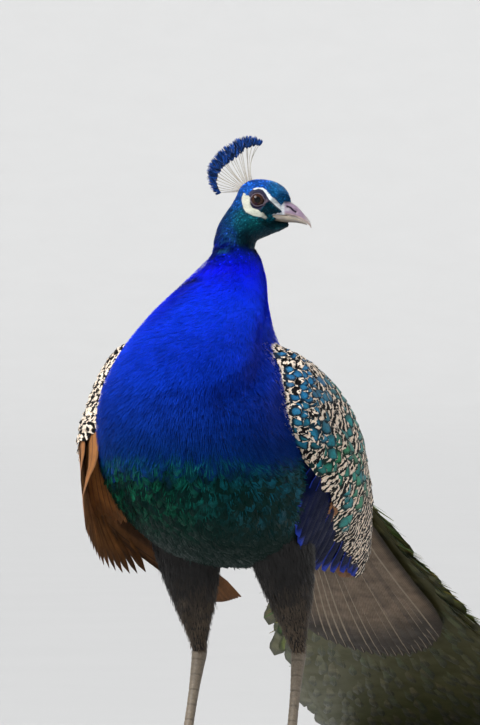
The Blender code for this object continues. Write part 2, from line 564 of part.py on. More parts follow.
def main():
    """Clear the scene and build the bird."""
    for old in list(bpy.data.objects):
        bpy.data.objects.remove(old, do_unlink=True)
    body = make_body()
    make_bill(body["head"])
    make_eyes(body["head"])
    make_crest()
    make_wings()
    for side_name, side in (("left", 1), ("right", -1)):
        make_thigh(side_name, side)
        make_shank(side_name, side)
        make_foot(side_name, side)
    make_train()
    make_tail()
    centre_on_origin()


main()
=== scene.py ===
"""Looks of a life-size Indian peafowl cock, standing still with its train on the floor.

One skin replaces the flesh of the frame and lies inside its outline by the depth of the coat. Feathers grow
out of it as thin vanes that follow the form, each rooted on the skin and lifting to the outline at its tip.
The bird faces -Y, its left side is +X, and +Z is up; all sizes are metres.
"""
import logging
import math
from dataclasses import dataclass
from enum import Enum

import bpy
import numpy as np
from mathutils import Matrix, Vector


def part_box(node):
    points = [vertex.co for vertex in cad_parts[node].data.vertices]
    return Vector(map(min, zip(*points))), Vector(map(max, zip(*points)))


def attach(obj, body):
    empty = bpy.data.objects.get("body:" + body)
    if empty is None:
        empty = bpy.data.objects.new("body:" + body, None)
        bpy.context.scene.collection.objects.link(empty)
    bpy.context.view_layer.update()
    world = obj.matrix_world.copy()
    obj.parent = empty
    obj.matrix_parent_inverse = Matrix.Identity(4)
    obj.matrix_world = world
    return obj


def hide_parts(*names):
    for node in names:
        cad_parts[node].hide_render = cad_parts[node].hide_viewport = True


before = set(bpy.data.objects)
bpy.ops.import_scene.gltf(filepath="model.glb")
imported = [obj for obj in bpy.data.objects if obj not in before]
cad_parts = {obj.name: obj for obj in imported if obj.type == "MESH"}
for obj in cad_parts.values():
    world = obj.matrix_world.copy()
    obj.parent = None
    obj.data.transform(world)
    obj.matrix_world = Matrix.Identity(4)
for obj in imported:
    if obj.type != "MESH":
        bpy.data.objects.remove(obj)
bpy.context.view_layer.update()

LOG = logging.getLogger("peafowl")
Array = np.ndarray

# ---- The bird's own frame, as its solids are laid out ---------------------------------------------
HEAD_YAW = math.radians(18.0)
HEAD_DEPTH = -0.020
HEAD_AHEAD = np.array([math.cos(HEAD_YAW), math.sin(HEAD_YAW), 0.0])
HEAD_LEFT = np.array([-math.sin(HEAD_YAW), math.cos(HEAD_YAW), 0.0])
UPWARD = np.array([0.0, 0.0, 1.0])
EYE_AT = (0.0410, 0.6595)
EYE_SIDE = 0.0124
EYE_RADIUS = 0.0088
BODY_ORIGIN = np.array([0.0, -0.030, 0.400])
BODY_PITCH = math.radians(30.0)
HEEL = np.array([0.058, 0.104, 0.158])
ANKLE = np.array([0.062, 0.050, 0.022])

# Stations of trunk and neck from the rump on: back (y, z), belly (y, z), half width, shift, turn, narrowing.
TRUNK_STATIONS = (
    ((0.330, 0.325), (0.322, 0.299), 0.018, 0.000, 0.0, 0.00),
    ((0.298, 0.364), (0.268, 0.280), 0.049, 0.000, 0.0, 0.05),
    ((0.245, 0.405), (0.198, 0.264), 0.076, 0.000, 0.0, 0.10),
    ((0.185, 0.441), (0.122, 0.257), 0.096, 0.000, 0.0, 0.14),
    ((0.130, 0.471), (0.045, 0.256), 0.104, 0.000, 0.0, 0.18),
    ((0.088, 0.492), (-0.035, 0.267), 0.107, 0.000, 0.0, 0.22),
    ((0.060, 0.510), (-0.103, 0.293), 0.108, 0.000, 0.0, 0.26),
    ((0.044, 0.526), (-0.153, 0.330), 0.107, 0.000, 0.0, 0.28),
    ((0.034, 0.542), (-0.183, 0.378), 0.100, 0.000, 0.0, 0.28),
    ((0.027, 0.558), (-0.192, 0.428), 0.087, 0.000, -6.0, 0.24),
    ((0.021, 0.574), (-0.176, 0.478), 0.069, 0.005, -18.0, 0.16),
    ((0.016, 0.590), (-0.132, 0.524), 0.050, 0.015, -38.0, 0.08),
    ((0.012, 0.600), (-0.080, 0.566), 0.035, 0.0205, -62.0, 0.02),
    ((0.010, 0.6065), (-0.048, 0.594), 0.0245, 0.0220, -88.0, 0.00),
)
# Stations of the head in its own plane: upper point (forward, up), lower point, half width, narrowing.
HEAD_STATIONS = (
    ((-0.0065, 0.6148), (0.0380, 0.6070), 0.0222, 0.00),
    ((-0.0020, 0.6310), (0.0405, 0.6145), 0.0215, 0.00),
    ((0.0060, 0.6445), (0.0470, 0.6182), 0.0212, 0.02),
    ((0.0130, 0.6545), (0.0535, 0.6208), 0.0210, 0.05),
    ((0.0180, 0.6635), (0.0590, 0.6232), 0.0206, 0.08),
    ((0.0220, 0.6725), (0.0640, 0.6250), 0.0202, 0.10),
    ((0.0300, 0.6795), (0.0680, 0.6268), 0.0196, 0.12),
    ((0.0400, 0.6821), (0.0715, 0.6288), 0.0188, 0.12),
    ((0.0510, 0.6817), (0.0745, 0.6300), 0.0174, 0.12),
    ((0.0610, 0.6792), (0.0770, 0.6312), 0.0154, 0.10),
    ((0.0700, 0.6738), (0.0793, 0.6322), 0.0130, 0.06),
    ((0.0755, 0.6662), (0.0800, 0.6330), 0.0106, 0.02),
    ((0.0768, 0.6602), (0.0808, 0.6337), 0.0092, 0.00),
)
LAST_STATION = len(TRUNK_STATIONS) + len(HEAD_STATIONS) - 1
COAT_DEPTH = ((0, 0.006), (2, 0.009), (8, 0.007), (11, 0.0045), (12, 0.0028), (14, 0.0022), (16, 0.0012),
              (26, 0.0008))
# Soft valleys pressed into the near side: points (across the view, up), depth and half breadth.
CREASES = (
    (((-0.0050, 0.6090), (0.0064, 0.6149)), 0.0028, 0.0030),
    (((-0.0010, 0.5998), (0.0060, 0.6015)), 0.0026, 0.0036),
    (((-0.0350, 0.5710), (-0.0160, 0.5775)), 0.0026, 0.0042),
    (((0.0570, 0.5170), (0.0470, 0.4750), (0.0370, 0.4560), (0.0080, 0.4450)), 0.0095, 0.0125),
)
GRAIN = 0.003              # size of one tuft's patch on the unwrap
FLOOR_GAP = 0.0004         # no point of the bird lies lower
SIDES = (("left", 1.0), ("right", -1.0))


# ---- Numbers --------------------------------------------------------------------------------------
def unit(v: Array) -> Array:
    """Scale vectors to length one along the last axis."""
    return v / np.maximum(np.linalg.norm(v, axis=-1, keepdims=True), 1e-12)


def dot(a: Array, b: Array) -> Array:
    """Multiply vectors pairwise along the last axis and add up."""
    return (a * b).sum(axis=-1)


def ease(x: Array, low: float, high: float) -> Array:
    """Rise smoothly from 0 at `low` to 1 at `high`: 3t^2 - 2t^3 of the clamped share t."""
    t = np.clip((np.asarray(x, float) - low) / (high - low), 0, 1)
    return t * t * (3 - 2 * t)


def mix(a: Array, b: Array, share: Array) -> Array:
    """Mix colours by one share for each: a * (1 - share) + b * share."""
    share = np.asarray(share)[..., None]
    return a * (1 - share) + b * share


def hump(x: Array, y: Array, middle: tuple, reach: tuple) -> Array:
    """A smooth oval hump: exp(-(x away / reach)^2 - (y away / reach)^2)."""
    return np.exp(-((x - middle[0]) / reach[0]) ** 2 - ((y - middle[1]) / reach[1]) ** 2)


def tint(red: float, green: float, blue: float, gain: float = 1.0) -> Array:
    """Turn a display colour of 0 to 255 into linear light, brightened by `gain`."""
    value = np.array([red, green, blue], float) / 255
    return gain * np.where(value <= 0.04045, value / 12.92, ((value + 0.055) / 1.055) ** 2.4)


def circle(count: int) -> Array:
    """Angles all the way round, the last one step short of the first."""
    return np.linspace(0, 2 * math.pi, count, endpoint=False)


def mesh_of(rows: Array, columns: Array) -> list:
    """Spread two lists of values over the rows and the columns of a grid."""
    return np.meshgrid(rows, columns, indexing="ij")


def curve(keys: tuple, at: Array) -> Array:
    """Read a smooth curve through (position, value) keys: cubic pieces with central slopes, flat beyond.

    Args:
        keys: the curve's (position, value) pairs.
        at: positions to read.

    Returns:
        Values, shaped like the positions.
    """
    xs, ys = np.array([k[0] for k in keys], float), np.array([k[1] for k in keys], float)
    at = np.clip(np.asarray(at, dtype=float), xs[0], xs[-1])
    slopes = np.gradient(ys, xs)
    i = np.clip(np.searchsorted(xs, at) - 1, 0, len(xs) - 2)
    h = xs[i + 1] - xs[i]
    t = (at - xs[i]) / h
    return ((2 * t ** 3 - 3 * t ** 2 + 1) * ys[i] + (t ** 3 - 2 * t ** 2 + t) * h * slopes[i]
            + (3 * t ** 2 - 2 * t ** 3) * ys[i + 1] + (t ** 3 - t ** 2) * h * slopes[i + 1])


def ramp(keys: tuple, at: Array) -> Array:
    """Read straight-line values through (position, value) keys."""
    return np.interp(at, [k[0] for k in keys], [k[1] for k in keys])


def smooth_rows(rows: Array, at: Array) -> Array:
    """Read rows of numbers on a Catmull-Rom curve through rows that are one step apart.

    Args:
        rows: the numbers (rows, columns).
        at: places to read, counted in rows.

    Returns:
        Numbers (places, columns).
    """
    ends = np.vstack([2 * rows[0] - rows[1], rows, 2 * rows[-1] - rows[-2]])
    i = np.clip(np.floor(at).astype(int), 0, len(rows) - 2)
    t = (np.asarray(at) - i)[:, None]
    a, b, c, d = ends[i], ends[i + 1], ends[i + 2], ends[i + 3]
    return 0.5 * (2 * b + (c - a) * t + (2 * a - 5 * b + 4 * c - d) * t ** 2
                  + (3 * b - a - 3 * c + d) * t ** 3)


def walked(pace: Array, step: float) -> Array:
    """Length walked up to each place: the sum of the mean paces between places, times the step."""
    return np.concatenate([[0], np.cumsum((pace[1:] + pace[:-1]) / 2 * step)])


def head_point(forward: Array, up: Array, side: Array = 0.0) -> Array:
    """Place a point of the head: forward along the bill, up, and to the head's own left.

    Args:
        forward, up, side: distances in the head's own plane and out of it.

    Returns:
        Points, with x, y, z last.
    """
    forward, up, side = np.broadcast_arrays(np.asarray(forward, float), up, side)
    return (forward[..., None] * HEAD_AHEAD + (HEAD_DEPTH + side[..., None]) * HEAD_LEFT
            + up[..., None] * UPWARD)


def head_plane(points: Array) -> tuple:
    """Give points as (forward, up, side) of the head, the reverse of head_point."""
    return dot(points, HEAD_AHEAD), points[..., 2], dot(points, HEAD_LEFT) - HEAD_DEPTH


def line_distance(x: Array, y: Array, line: tuple) -> tuple:
    """Distance from flat points to a broken line, and how far along it (0 to 1) the nearest place is.

    Args:
        x, y: the points.
        line: the line's corners.

    Returns:
        Distances, and shares of the line.
    """
    best, along = np.full(np.shape(x), 1e9), np.zeros(np.shape(x))
    pieces = len(line) - 1
    for k, ((ax, ay), (bx, by)) in enumerate(zip(line, line[1:])):
        t = np.clip(((x - ax) * (bx - ax) + (y - ay) * (by - ay)) / ((bx - ax) ** 2 + (by - ay) ** 2), 0, 1)
        d = np.hypot(x - ax - t * (bx - ax), y - ay - t * (by - ay))
        along = np.where(d < best, (k + t) / pieces, along)
        best = np.minimum(best, d)
    return best, along


def near_line(x: Array, y: Array, line: tuple, breadth: float) -> Array:
    """How near flat points are to a broken line: exp(-(distance / breadth)^2)."""
    return np.exp(-(line_distance(x, y, line)[0] / breadth) ** 2)


def outline_distance(x: Array, y: Array, corners: tuple) -> Array:
    """Signed distance from flat points to a closed outline, below zero inside it.

    Args:
        x, y: the points.
        corners: the outline's corners.

    Returns:
        Distances, shaped like the points.
    """
    ring = corners + corners[:1]
    inside = np.zeros(np.shape(x), bool)
    for (ax, ay), (bx, by) in zip(ring, ring[1:]):
        crosses = (ay > y) != (by > y)
        inside ^= crosses & (x < (bx - ax) * (y - ay) / (by - ay + 1e-12) + ax)
    return np.where(inside, -1, 1) * line_distance(x, y, ring)[0]


def nearest_value(query: Array, places: Array, values: Array) -> Array:
    """Read, for each query point, the value at the nearest of some places.

    Args:
        query, places: points in the same few dimensions.
        values: a value for each place.

    Returns:
        A value for each query point.
    """
    found = [values[((part[:, None, :] - places[None]) ** 2).sum(2).argmin(1)]
             for part in np.array_split(query.astype(np.float32), max(1, len(query) // 200))]
    return np.concatenate(found)


# ---- Surfaces that feathers follow ----------------------------------------------------------------
@dataclass
class Surface:
    """A smooth surface as a grid of points over two shares, `a` along the rows and `b` across them.

    Attributes:
        points: the grid, (rows, columns, 3).
        wrap: whether the last column joins the first.
        outward: 1 or -1, the side that faces out.
    """

    points: Array
    wrap: bool = False
    outward: float = 1.0

    def __post_init__(self) -> None:
        """Work out slopes by central differences, and normals as their cross product."""
        rows, columns = self.points.shape[:2]
        self.slope_a = np.gradient(self.points, axis=0) * (rows - 1)
        if self.wrap:
            self.slope_b = (np.roll(self.points, -1, 1) - np.roll(self.points, 1, 1)) / 2 * columns
        else:
            self.slope_b = np.gradient(self.points, axis=1) * (columns - 1)
        self.normals = unit(np.cross(self.slope_a, self.slope_b)) * self.outward

    def facing(self, place: tuple, toward: Array) -> "Surface":
        """The same surface with the side out that faces `toward` at one place of the grid."""
        way = 1.0 if dot(self.normals[place], np.asarray(toward)) > 0 else -1.0
        return Surface(self.points, self.wrap, way)

    def read(self, grid: Array, a: Array, b: Array) -> Array:
        """Read a grid of values between its points, straight along both shares."""
        rows, columns = grid.shape[:2]
        x = np.clip(a, 0, 1) * (rows - 1)
        y = (b % 1) * columns if self.wrap else np.clip(b, 0, 1) * (columns - 1)
        i = np.minimum(x.astype(int), rows - 2)
        j = y.astype(int) % columns if self.wrap else np.minimum(y.astype(int), columns - 2)
        right = (j + 1) % columns
        fx, fy = (x - i)[..., None], (y - np.floor(y) if self.wrap else y - j)[..., None]
        return ((grid[i, j] * (1 - fx) + grid[i + 1, j] * fx) * (1 - fy)
                + (grid[i, right] * (1 - fx) + grid[i + 1, right] * fx) * fy)

    def at(self, a: Array, b: Array) -> Array:
        """Points of the surface, carried on straight past its ends."""
        beyond = (a - np.clip(a, 0, 1))[..., None] * self.read(self.slope_a, a, b)
        if not self.wrap:
            beyond = beyond + (b - np.clip(b, 0, 1))[..., None] * self.read(self.slope_b, a, b)
        return self.read(self.points, a, b) + beyond

    def along(self, a: Array, b: Array) -> Array:
        """Directions in which `a` grows."""
        return unit(self.read(self.slope_a, a, b))

    def aside(self, a: Array, b: Array) -> Array:
        """Directions in which `b` grows."""
        return unit(self.read(self.slope_b, a, b))

    def out(self, a: Array, b: Array) -> Array:
        """Directions that point straight out."""
        return unit(self.read(self.normals, a, b))

    def trace(self, a: Array, b: Array, heading: Array, length: Array, steps: int) -> tuple:
        """Walk over the surface from each root, keeping the heading laid on the surface.

        Each step solves the two slopes for the heading by least squares and moves both shares.

        Args:
            a, b: the roots' shares, (n,).
            heading: directions, (n, 3).
            length: how far each walk goes, (n,).
            steps: points on each walk.

        Returns:
            Points, normals and headings, each (n, steps, 3).
        """
        path, normals, ahead = [], [], []
        stride = length / (steps - 1)
        for _ in range(steps):
            pa, pb = self.read(self.slope_a, a, b), self.read(self.slope_b, a, b)
            normal = self.out(a, b)
            heading = unit(heading - normal * dot(heading, normal)[:, None])
            path.append(self.at(a, b))
            normals.append(normal)
            ahead.append(heading)
            e, f, g = dot(pa, pa), dot(pa, pb), dot(pb, pb)
            ra, rb = dot(pa, heading), dot(pb, heading)
            whole = e * g - f * f + 1e-18
            a = a + np.clip((g * ra - f * rb) / whole * stride, -0.08, 0.08)
            b = b + np.clip((e * rb - f * ra) / whole * stride, -0.08, 0.08)
        return np.stack(path, 1), np.stack(normals, 1), np.stack(ahead, 1)

    def rows_apart(self, start: float, end: float, gap: float, at_b: Array) -> Array:
        """Shares `a` that lie `gap` apart where the surface is longest among the given shares `b`."""
        a = np.linspace(start, end, 400)
        pace = np.linalg.norm(self.read(self.slope_a, *mesh_of(a, at_b)), axis=2).max(axis=1)
        length = walked(pace, abs(a[1] - a[0]))
        return np.interp(np.arange(0.5 * gap, length[-1], gap), length, a)

    def lattice(self, rows: Array, gap: float, rng: np.random.Generator, span: tuple = (0.0, 1.0),
                jitter: float = 0.35) -> tuple:
        """Staggered roots in rows across the surface, thinned where the rows crowd together.

        Args:
            rows: the shares `a` of the rows.
            gap: distance between neighbours in a row.
            rng: the random source.
            span: the part of `b` covered.
            jitter: how far a root strays, as a share of the gap.

        Returns:
            The roots' shares a and b.
        """
        all_a, all_b = [], []
        probe = np.linspace(*span, 96)
        for k, (row, step) in enumerate(zip(rows, np.abs(np.gradient(rows)))):
            pace = np.linalg.norm(self.read(self.slope_b, np.full_like(probe, row), probe), axis=1)
            length = walked(pace, probe[1] - probe[0])
            count = max(2, int(length[-1] / gap))
            place = (np.arange(count) + 0.5 * (k % 2) + rng.uniform(-jitter, jitter, count)) / count
            b = np.interp((place % 1) * length[-1], length, probe)
            a = row + rng.uniform(-jitter, jitter, count) * step
            advance = np.linalg.norm(self.read(self.slope_a, a, b), axis=1)
            share = advance / max(advance.max(), 1e-9)
            keep = (rng.random(count) < share * 1.15) & (share > 0.06)
            all_a.append(a[keep])
            all_b.append(b[keep])
        return np.concatenate(all_a), np.concatenate(all_b)


def body_rows() -> Array:
    """Turn both station tables into rows: centre, back-pointing and left-pointing half axes, narrowing."""
    rows = []
    for (back_y, back_z), (belly_y, belly_z), half, shift, twist, narrow in TRUNK_STATIONS:
        back, belly = np.array([shift, back_y, back_z]), np.array([shift, belly_y, belly_z])
        up, left = (back - belly) / 2, np.array([half, 0.0, 0.0])
        turn = math.radians(twist)
        rows.append(np.concatenate([(back + belly) / 2, up * math.cos(turn) + left * math.sin(turn),
                                    left * math.cos(turn) - up * math.sin(turn), [narrow]]))
    for top, bottom, half, narrow in HEAD_STATIONS:
        back, belly = head_point(*top), head_point(*bottom)
        rows.append(np.concatenate([(back + belly) / 2, (back - belly) / 2, HEAD_LEFT * half, [narrow]]))
    return np.array(rows)


def body_rings(stations: Array, around: int) -> Array:
    """Rings of the body: centre + back axis * cos + left axis * sin * (1 - narrowing * cos).

    Args:
        stations: where the rings lie, counted along the tables.
        around: points on each ring.

    Returns:
        Points (stations, around, 3).
    """
    row = smooth_rows(body_rows(), stations)
    angle = circle(around)[None, :, None]
    centre, up, left, narrow = (row[:, None, k]
                                for k in (slice(0, 3), slice(3, 6), slice(6, 9), slice(9, 10)))
    return centre + up * np.cos(angle) + left * np.sin(angle) * (1 - narrow * np.cos(angle))


def press_creases(points: Array, normals: Array) -> Array:
    """Press the soft valleys into the near side: inwards by depth * nearness to the valley's line.

    Args:
        points, normals: the outline and which way it faces.

    Returns:
        The moved points.
    """
    across = dot(points, HEAD_AHEAD)
    near = ease(-dot(normals, HEAD_LEFT), -0.05, 0.35)
    moved = points.copy()
    for line, depth, breadth in CREASES:
        moved -= normals * (depth * near * near_line(across, points[..., 2], line, breadth))[..., None]
    return moved


# ---- Meshes ---------------------------------------------------------------------------------------
@dataclass
class Form:
    """Points and faces on their way into a mesh, with what is painted on each point.

    Attributes:
        points: (n, 3).
        faces: arrays of corner numbers, one array for each number of corners.
        tone: linear colour of each point, (n, 3).
        mark: four free shares of each point, (n, 4).
        vane: place on its own feather, along and across, (n, 2).
        patch: place on the unwrap, (n, 2).
    """

    points: Array
    faces: list
    tone: Array
    mark: Array
    vane: Array
    patch: Array

    @staticmethod
    def join(forms: list) -> "Form":
        """Put several forms into one, their corner numbers counted on."""
        starts = np.cumsum([0] + [len(f.points) for f in forms[:-1]])
        faces = [face + start for form, start in zip(forms, starts) for face in form.faces]
        points, *painted = (np.concatenate([getattr(f, key) for f in forms])
                            for key in ("points", "tone", "mark", "vane", "patch"))
        return Form(points, faces, *painted)


def grid_faces(rows: int, columns: int, wrap: bool = False, flip: bool = False) -> Array:
    """Corner numbers of the quads of a grid, (faces, 4).

    Args:
        rows, columns: the grid's points.
        wrap: whether the last column meets the first.
        flip: whether the corners run the other way round.
    """
    r, c = mesh_of(np.arange(rows - 1), np.arange(columns if wrap else columns - 1))
    right = (c + 1) % columns
    quads = np.stack([r * columns + c, r * columns + right, (r + 1) * columns + right,
                      (r + 1) * columns + c], -1)
    quads = quads.reshape(-1, 4)
    return quads[:, ::-1] if flip else quads


def repeated_faces(one: Array, count: int, points: int) -> Array:
    """Corner numbers of `count` like parts of `points` points each, from those of the first."""
    return (one[None] + np.arange(count)[:, None, None] * points).reshape(-1, one.shape[1])


def form_of(points: Array, faces: Array, tone: Array, mark: Array | None = None, vane: Array | None = None,
            patch: Array | None = None) -> Form:
    """Make a form, filling what isn't given with zeros.

    Args:
        points: places in a grid of any shape, with x, y, z last.
        faces: corner numbers, one array or a list.
        tone: colours of the points.
        mark, vane, patch: the other things that a form carries.
    """
    flat = points.reshape(-1, 3)
    count = len(flat)
    tone = np.broadcast_to(np.asarray(tone, float).reshape(-1, 3), (count, 3))
    vane = np.zeros((count, 2)) if vane is None else vane.reshape(-1, 2)
    return Form(flat, faces if isinstance(faces, list) else [faces], tone,
                np.zeros((count, 4)) if mark is None else mark.reshape(-1, 4), vane,
                vane if patch is None else patch.reshape(-1, 2))


def loft_form(rings: Array, tone: Array, mark: Array | None = None) -> Form:
    """Closed rings (rings, around, 3) with a fan over each end, painted ring by ring, facing outward.

    The faces are turned round when the volume they enclose, the sum of p0 . (p1 x p2) / 6, is below zero.
    """
    count, around = rings.shape[:2]
    points = np.concatenate([rings.reshape(-1, 3), rings[:1].mean(axis=1), rings[-1:].mean(axis=1)])
    k = np.arange(around)
    first = np.stack([(k + 1) % around, k, np.full(around, count * around)], 1)
    last = (count - 1) * around + np.stack([k, (k + 1) % around, np.full(around, around + 1)], 1)
    faces = [grid_faces(count, around, True), np.concatenate([first, last])]
    volume = 0.0
    for group in faces:
        corner = points[group] - points.mean(axis=0)
        for n in range(1, group.shape[1] - 1):
            volume += dot(corner[:, 0], np.cross(corner[:, n], corner[:, n + 1])).sum()
    if volume < 0:
        faces = [group[:, ::-1] for group in faces]

    def spread(values: Array, width: int) -> Array:
        """Give each point of the rings its values, and each end's middle those of the ring next to it."""
        values = np.broadcast_to(values, (count, around, width)).reshape(-1, width)
        return np.concatenate([values, values[:1], values[-1:]])

    a, b = mesh_of(np.linspace(0.01, 0.99, count), np.linspace(0.01, 0.99, around))
    vane = np.concatenate([np.stack([a, b], -1).reshape(-1, 2), [[0.005, 0.5], [0.995, 0.5]]])
    return form_of(points, faces, spread(tone, 3), None if mark is None else spread(mark, 4), vane)


def tube_rings(path: Array, radii: Array, around: int, beside: tuple = (0.0, 0.0, 1.0)) -> Array:
    """Rings of a round limb along a path: path + radius * (across * cos + over * sin).

    Args:
        path, radii: the limb's middle line and radii.
        around: points on each ring.
        beside: a direction that the path never takes.

    Returns:
        Points (path, around, 3).
    """
    ahead = unit(np.gradient(path, axis=0))
    across = unit(np.cross(ahead, np.asarray(beside, float)))
    over = np.cross(across, ahead)
    angle = circle(around)[None, :, None]
    return path[:, None] + np.asarray(radii)[:, None, None] * (across[:, None] * np.cos(angle)
                                                               + over[:, None] * np.sin(angle))


class Slot(Enum):
    """The named finishes of the record."""

    BLUE = "blue_plumage"
    GREEN = "green_plumage"
    BARRED = "barred_plumage"
    CHESTNUT = "chestnut_plumage"
    TRAIN = "train_plumage"
    DARK = "dark_plumage"
    HORN = "horn"
    EYE = "eye"
    LEGS = "leg_scales"


def frame_shift() -> Array:
    """How far the frame stands from the bird's own coordinates, read at the left eye."""
    low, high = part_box("left_eye")
    middle = (np.array(low) + np.array(high)) / 2
    return (middle - head_point(EYE_AT[0], EYE_AT[1], EYE_SIDE)) * [1.0, 1.0, 0.0]


SHIFT = frame_shift()


def add_object(name: str, data: bpy.types.ID) -> bpy.types.Object:
    """Put an object with the given mesh, light or camera into the scene."""
    made = bpy.data.objects.new(name, data)
    bpy.context.scene.collection.objects.link(made)
    return made


def add_piece(name: str, form: Form, finish: bpy.types.Material, replaces: tuple = ()) -> None:
    """Make one visible piece of the bird and tell the frame about it.

    Args:
        name: the piece's name.
        form: its points, faces and paint.
        finish: its material.
        replaces: nodes of the frame that it stands for.
    """
    mesh = bpy.data.meshes.new(name)
    corners = np.concatenate([f.ravel() for f in form.faces]).astype(np.int32)
    sizes = np.concatenate([np.full(len(f), f.shape[1]) for f in form.faces])
    points = form.points + SHIFT
    points[:, 2] = np.maximum(points[:, 2], FLOOR_GAP)
    mesh.vertices.add(len(points))
    mesh.vertices.foreach_set("co", points.astype(np.float32).ravel())
    mesh.loops.add(len(corners))
    mesh.loops.foreach_set("vertex_index", corners)
    mesh.polygons.add(len(sizes))
    mesh.polygons.foreach_set("loop_start", np.concatenate([[0], np.cumsum(sizes)[:-1]]).astype(np.int32))
    for key, values in (("OFBake", form.patch), ("Vane", form.vane)):
        layer = mesh.uv_layers.new(name=key)
        layer.uv.foreach_set("vector", values[corners].astype(np.float32).ravel())
    for key, values in (("Tone", np.c_[form.tone, np.ones(len(form.tone))]), ("Mark", form.mark)):
        paint = mesh.attributes.new(key, "FLOAT_COLOR", "POINT")
        paint.data.foreach_set("color", values.astype(np.float32).ravel())
    mesh.update(calc_edges=True)
    mesh.validate()
    mesh.shade_smooth()
    mesh.materials.append(finish)
    made = add_object(name, mesh)
    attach(made, "root")
    if replaces:
        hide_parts(*replaces)
    LOG.info("%s: %d triangles", name, int((sizes - 2).sum()))


# ---- Feathers -------------------------------------------------------------------------------------
@dataclass(frozen=True)
class Blade:
    """One kind of feather.

    Attributes:
        rows: points along it.
        strips: loose barbs side by side, or 1 for a whole vane.
        columns: points across each strip.
        outline: its half width along its length, as shares of the widest.
        camber: how far its edges bend down, as a share of the half width.
        spread: how far apart the tips of loose barbs stand, as a share of the half width.
        barb: half width of a loose barb at its root, as a share of the feather's.
        ragged: how unequal the lengths of loose barbs are.
        rise: the power with which it lifts from the skin.
    """

    rows: int = 4
    strips: int = 1
    columns: int = 3
    outline: tuple = ((0, 0.30), (0.25, 0.80), (0.6, 1.0), (0.85, 0.78), (1, 0.12))
    camber: float = 0.25
    spread: float = 1.0
    barb: float = 0.34
    ragged: float = 0.25
    rise: float = 0.8

    def across(self) -> tuple:
        """Places across the feather at each row, (rows, strips * columns), and each column's strip."""
        u = np.linspace(0, 1, self.rows)[:, None]
        if self.strips == 1:
            across = np.linspace(-1, 1, self.columns)[None]
            return curve(self.outline, u) * across, np.zeros(self.columns, int)
        strip = np.repeat(np.arange(self.strips), self.columns)
        middle = np.linspace(-1, 1, self.strips)[strip][None] * (0.35 + (self.spread - 0.35) * u)
        half = np.tile(np.linspace(-1, 1, self.columns), self.strips)[None] * self.barb
        return middle + half * np.maximum(1 - 0.75 * u, 0.1) * (0.4 + 0.6 * ease(u, 0, 0.2)), strip

    def faces(self, count: int) -> Array:
        """Corner numbers of `count` feathers' quads, without those that lie between two strips."""
        total = self.strips * self.columns
        column = np.tile(np.arange(total - 1), self.rows - 1)
        one = grid_faces(self.rows, total)[(column + 1) % self.columns != 0]
        return repeated_faces(one, count, self.rows * total)

    def grow(self, surface: Surface, a: Array, b: Array, heading: Array, length: Array, width: Array,
             sink: Array, stand: Array, tone: Array, rng: np.random.Generator, mark: Array | None = None,
             cells: bool = False, tilt: float = 0.12, shade: tuple = (0.62, 1.08), lean: float = 0.0) -> Form:
        """Grow one feather from each root, following the surface.

        A feather's middle is the walk over the surface, raised by -sink + (sink + stand) * u^rise; its
        sides are that plus side * across * half width, bent down by camber * across^2 and rolled a little.

        Args:
            surface: the outline that the coat fills.
            a, b: the roots on it.
            heading: where the feathers point, (n, 3).
            length, width: their sizes, (n,).
            sink, stand: depth of the root under the surface and height of the tip over it.
            tone: their colours, (n, 3), or one colour for all.
            rng: the random source.
            mark: four free shares, (n, 4).
            cells: give each feather its own large cell of the unwrap.
            tilt: how far the feathers roll.
            shade: brightness at the root and at the tip, as painted shade and light along each feather.
            lean: how far every feather rolls to the same side, as shingles do.

        Returns:
            All the feathers as one form.
        """
        count = len(a)
        length, width, sink, stand = (np.broadcast_to(np.asarray(k, float), (count,))
                                      for k in (length, width, sink, stand))
        path, normal, ahead = surface.trace(a, b, heading, length, self.rows)
        side = np.cross(ahead, normal)
        u = np.linspace(0, 1, self.rows)
        lift = -sink[:, None] + (sink + stand)[:, None] * u[None] ** self.rise
        across, strip = self.across()
        roll = lean + rng.normal(0, tilt, (count, 1, 1))
        reach = across[None] * (width / 2)[:, None, None]
        if self.strips > 1:
            reach = reach + rng.normal(0, 0.16, (count, 1, self.strips))[..., strip] * (
                width[:, None, None] * u[None, :, None])
        drop = self.camber * across[None] ** 2 * (width / 2)[:, None, None]
        height = lift[..., None] - drop + roll * reach
        short = 1 - self.ragged * rng.random((count, 1, self.strips))[..., strip] * (self.strips > 1)
        back = (short - 1) * u[None, :, None] * length[:, None, None]
        points = (path[:, :, None] + side[:, :, None] * reach[..., None]
                  + normal[:, :, None] * height[..., None]
                  + ahead[:, :, None] * back[..., None])
        shape = (count, self.rows, len(strip))
        # Painted shade and light along each feather, from `shade`, times a random brightness for each one.
        light = np.linspace(*shade, self.rows)[None, :, None] * rng.uniform(0.8, 1.2, (count, 1, 1))
        tone = np.broadcast_to(tone, (count, 3))[:, None]
        colour = np.broadcast_to((tone * light)[:, :, None], (*shape, 3))
        vane = np.broadcast_to(np.stack(mesh_of(u, np.linspace(0, 1, len(strip))), -1), (*shape, 2))
        if cells:
            side_cells = math.ceil(math.sqrt(count))
            row_of = np.digitize(a, np.quantile(a, np.linspace(0, 1, side_cells + 1)[1:-1]))
            place = np.empty(count)
            place[np.lexsort((b, row_of))] = np.arange(count)
            cell = np.stack([place // side_cells, place % side_cells], 1)
            patch = (cell[:, None, None] + 0.06 + 0.88 * vane) / side_cells
        else:
            root = np.stack([a, b % 1], 1)
            patch = 0.01 + 0.98 * root[:, None, None] + GRAIN * (vane - 0.5)
        if mark is not None:
            mark = np.broadcast_to(mark[:, None, None], (*shape, 4))
        return form_of(points, self.faces(count), colour, mark, vane, patch)


# ---- Finishes -------------------------------------------------------------------------------------
Socket = bpy.types.NodeSocket


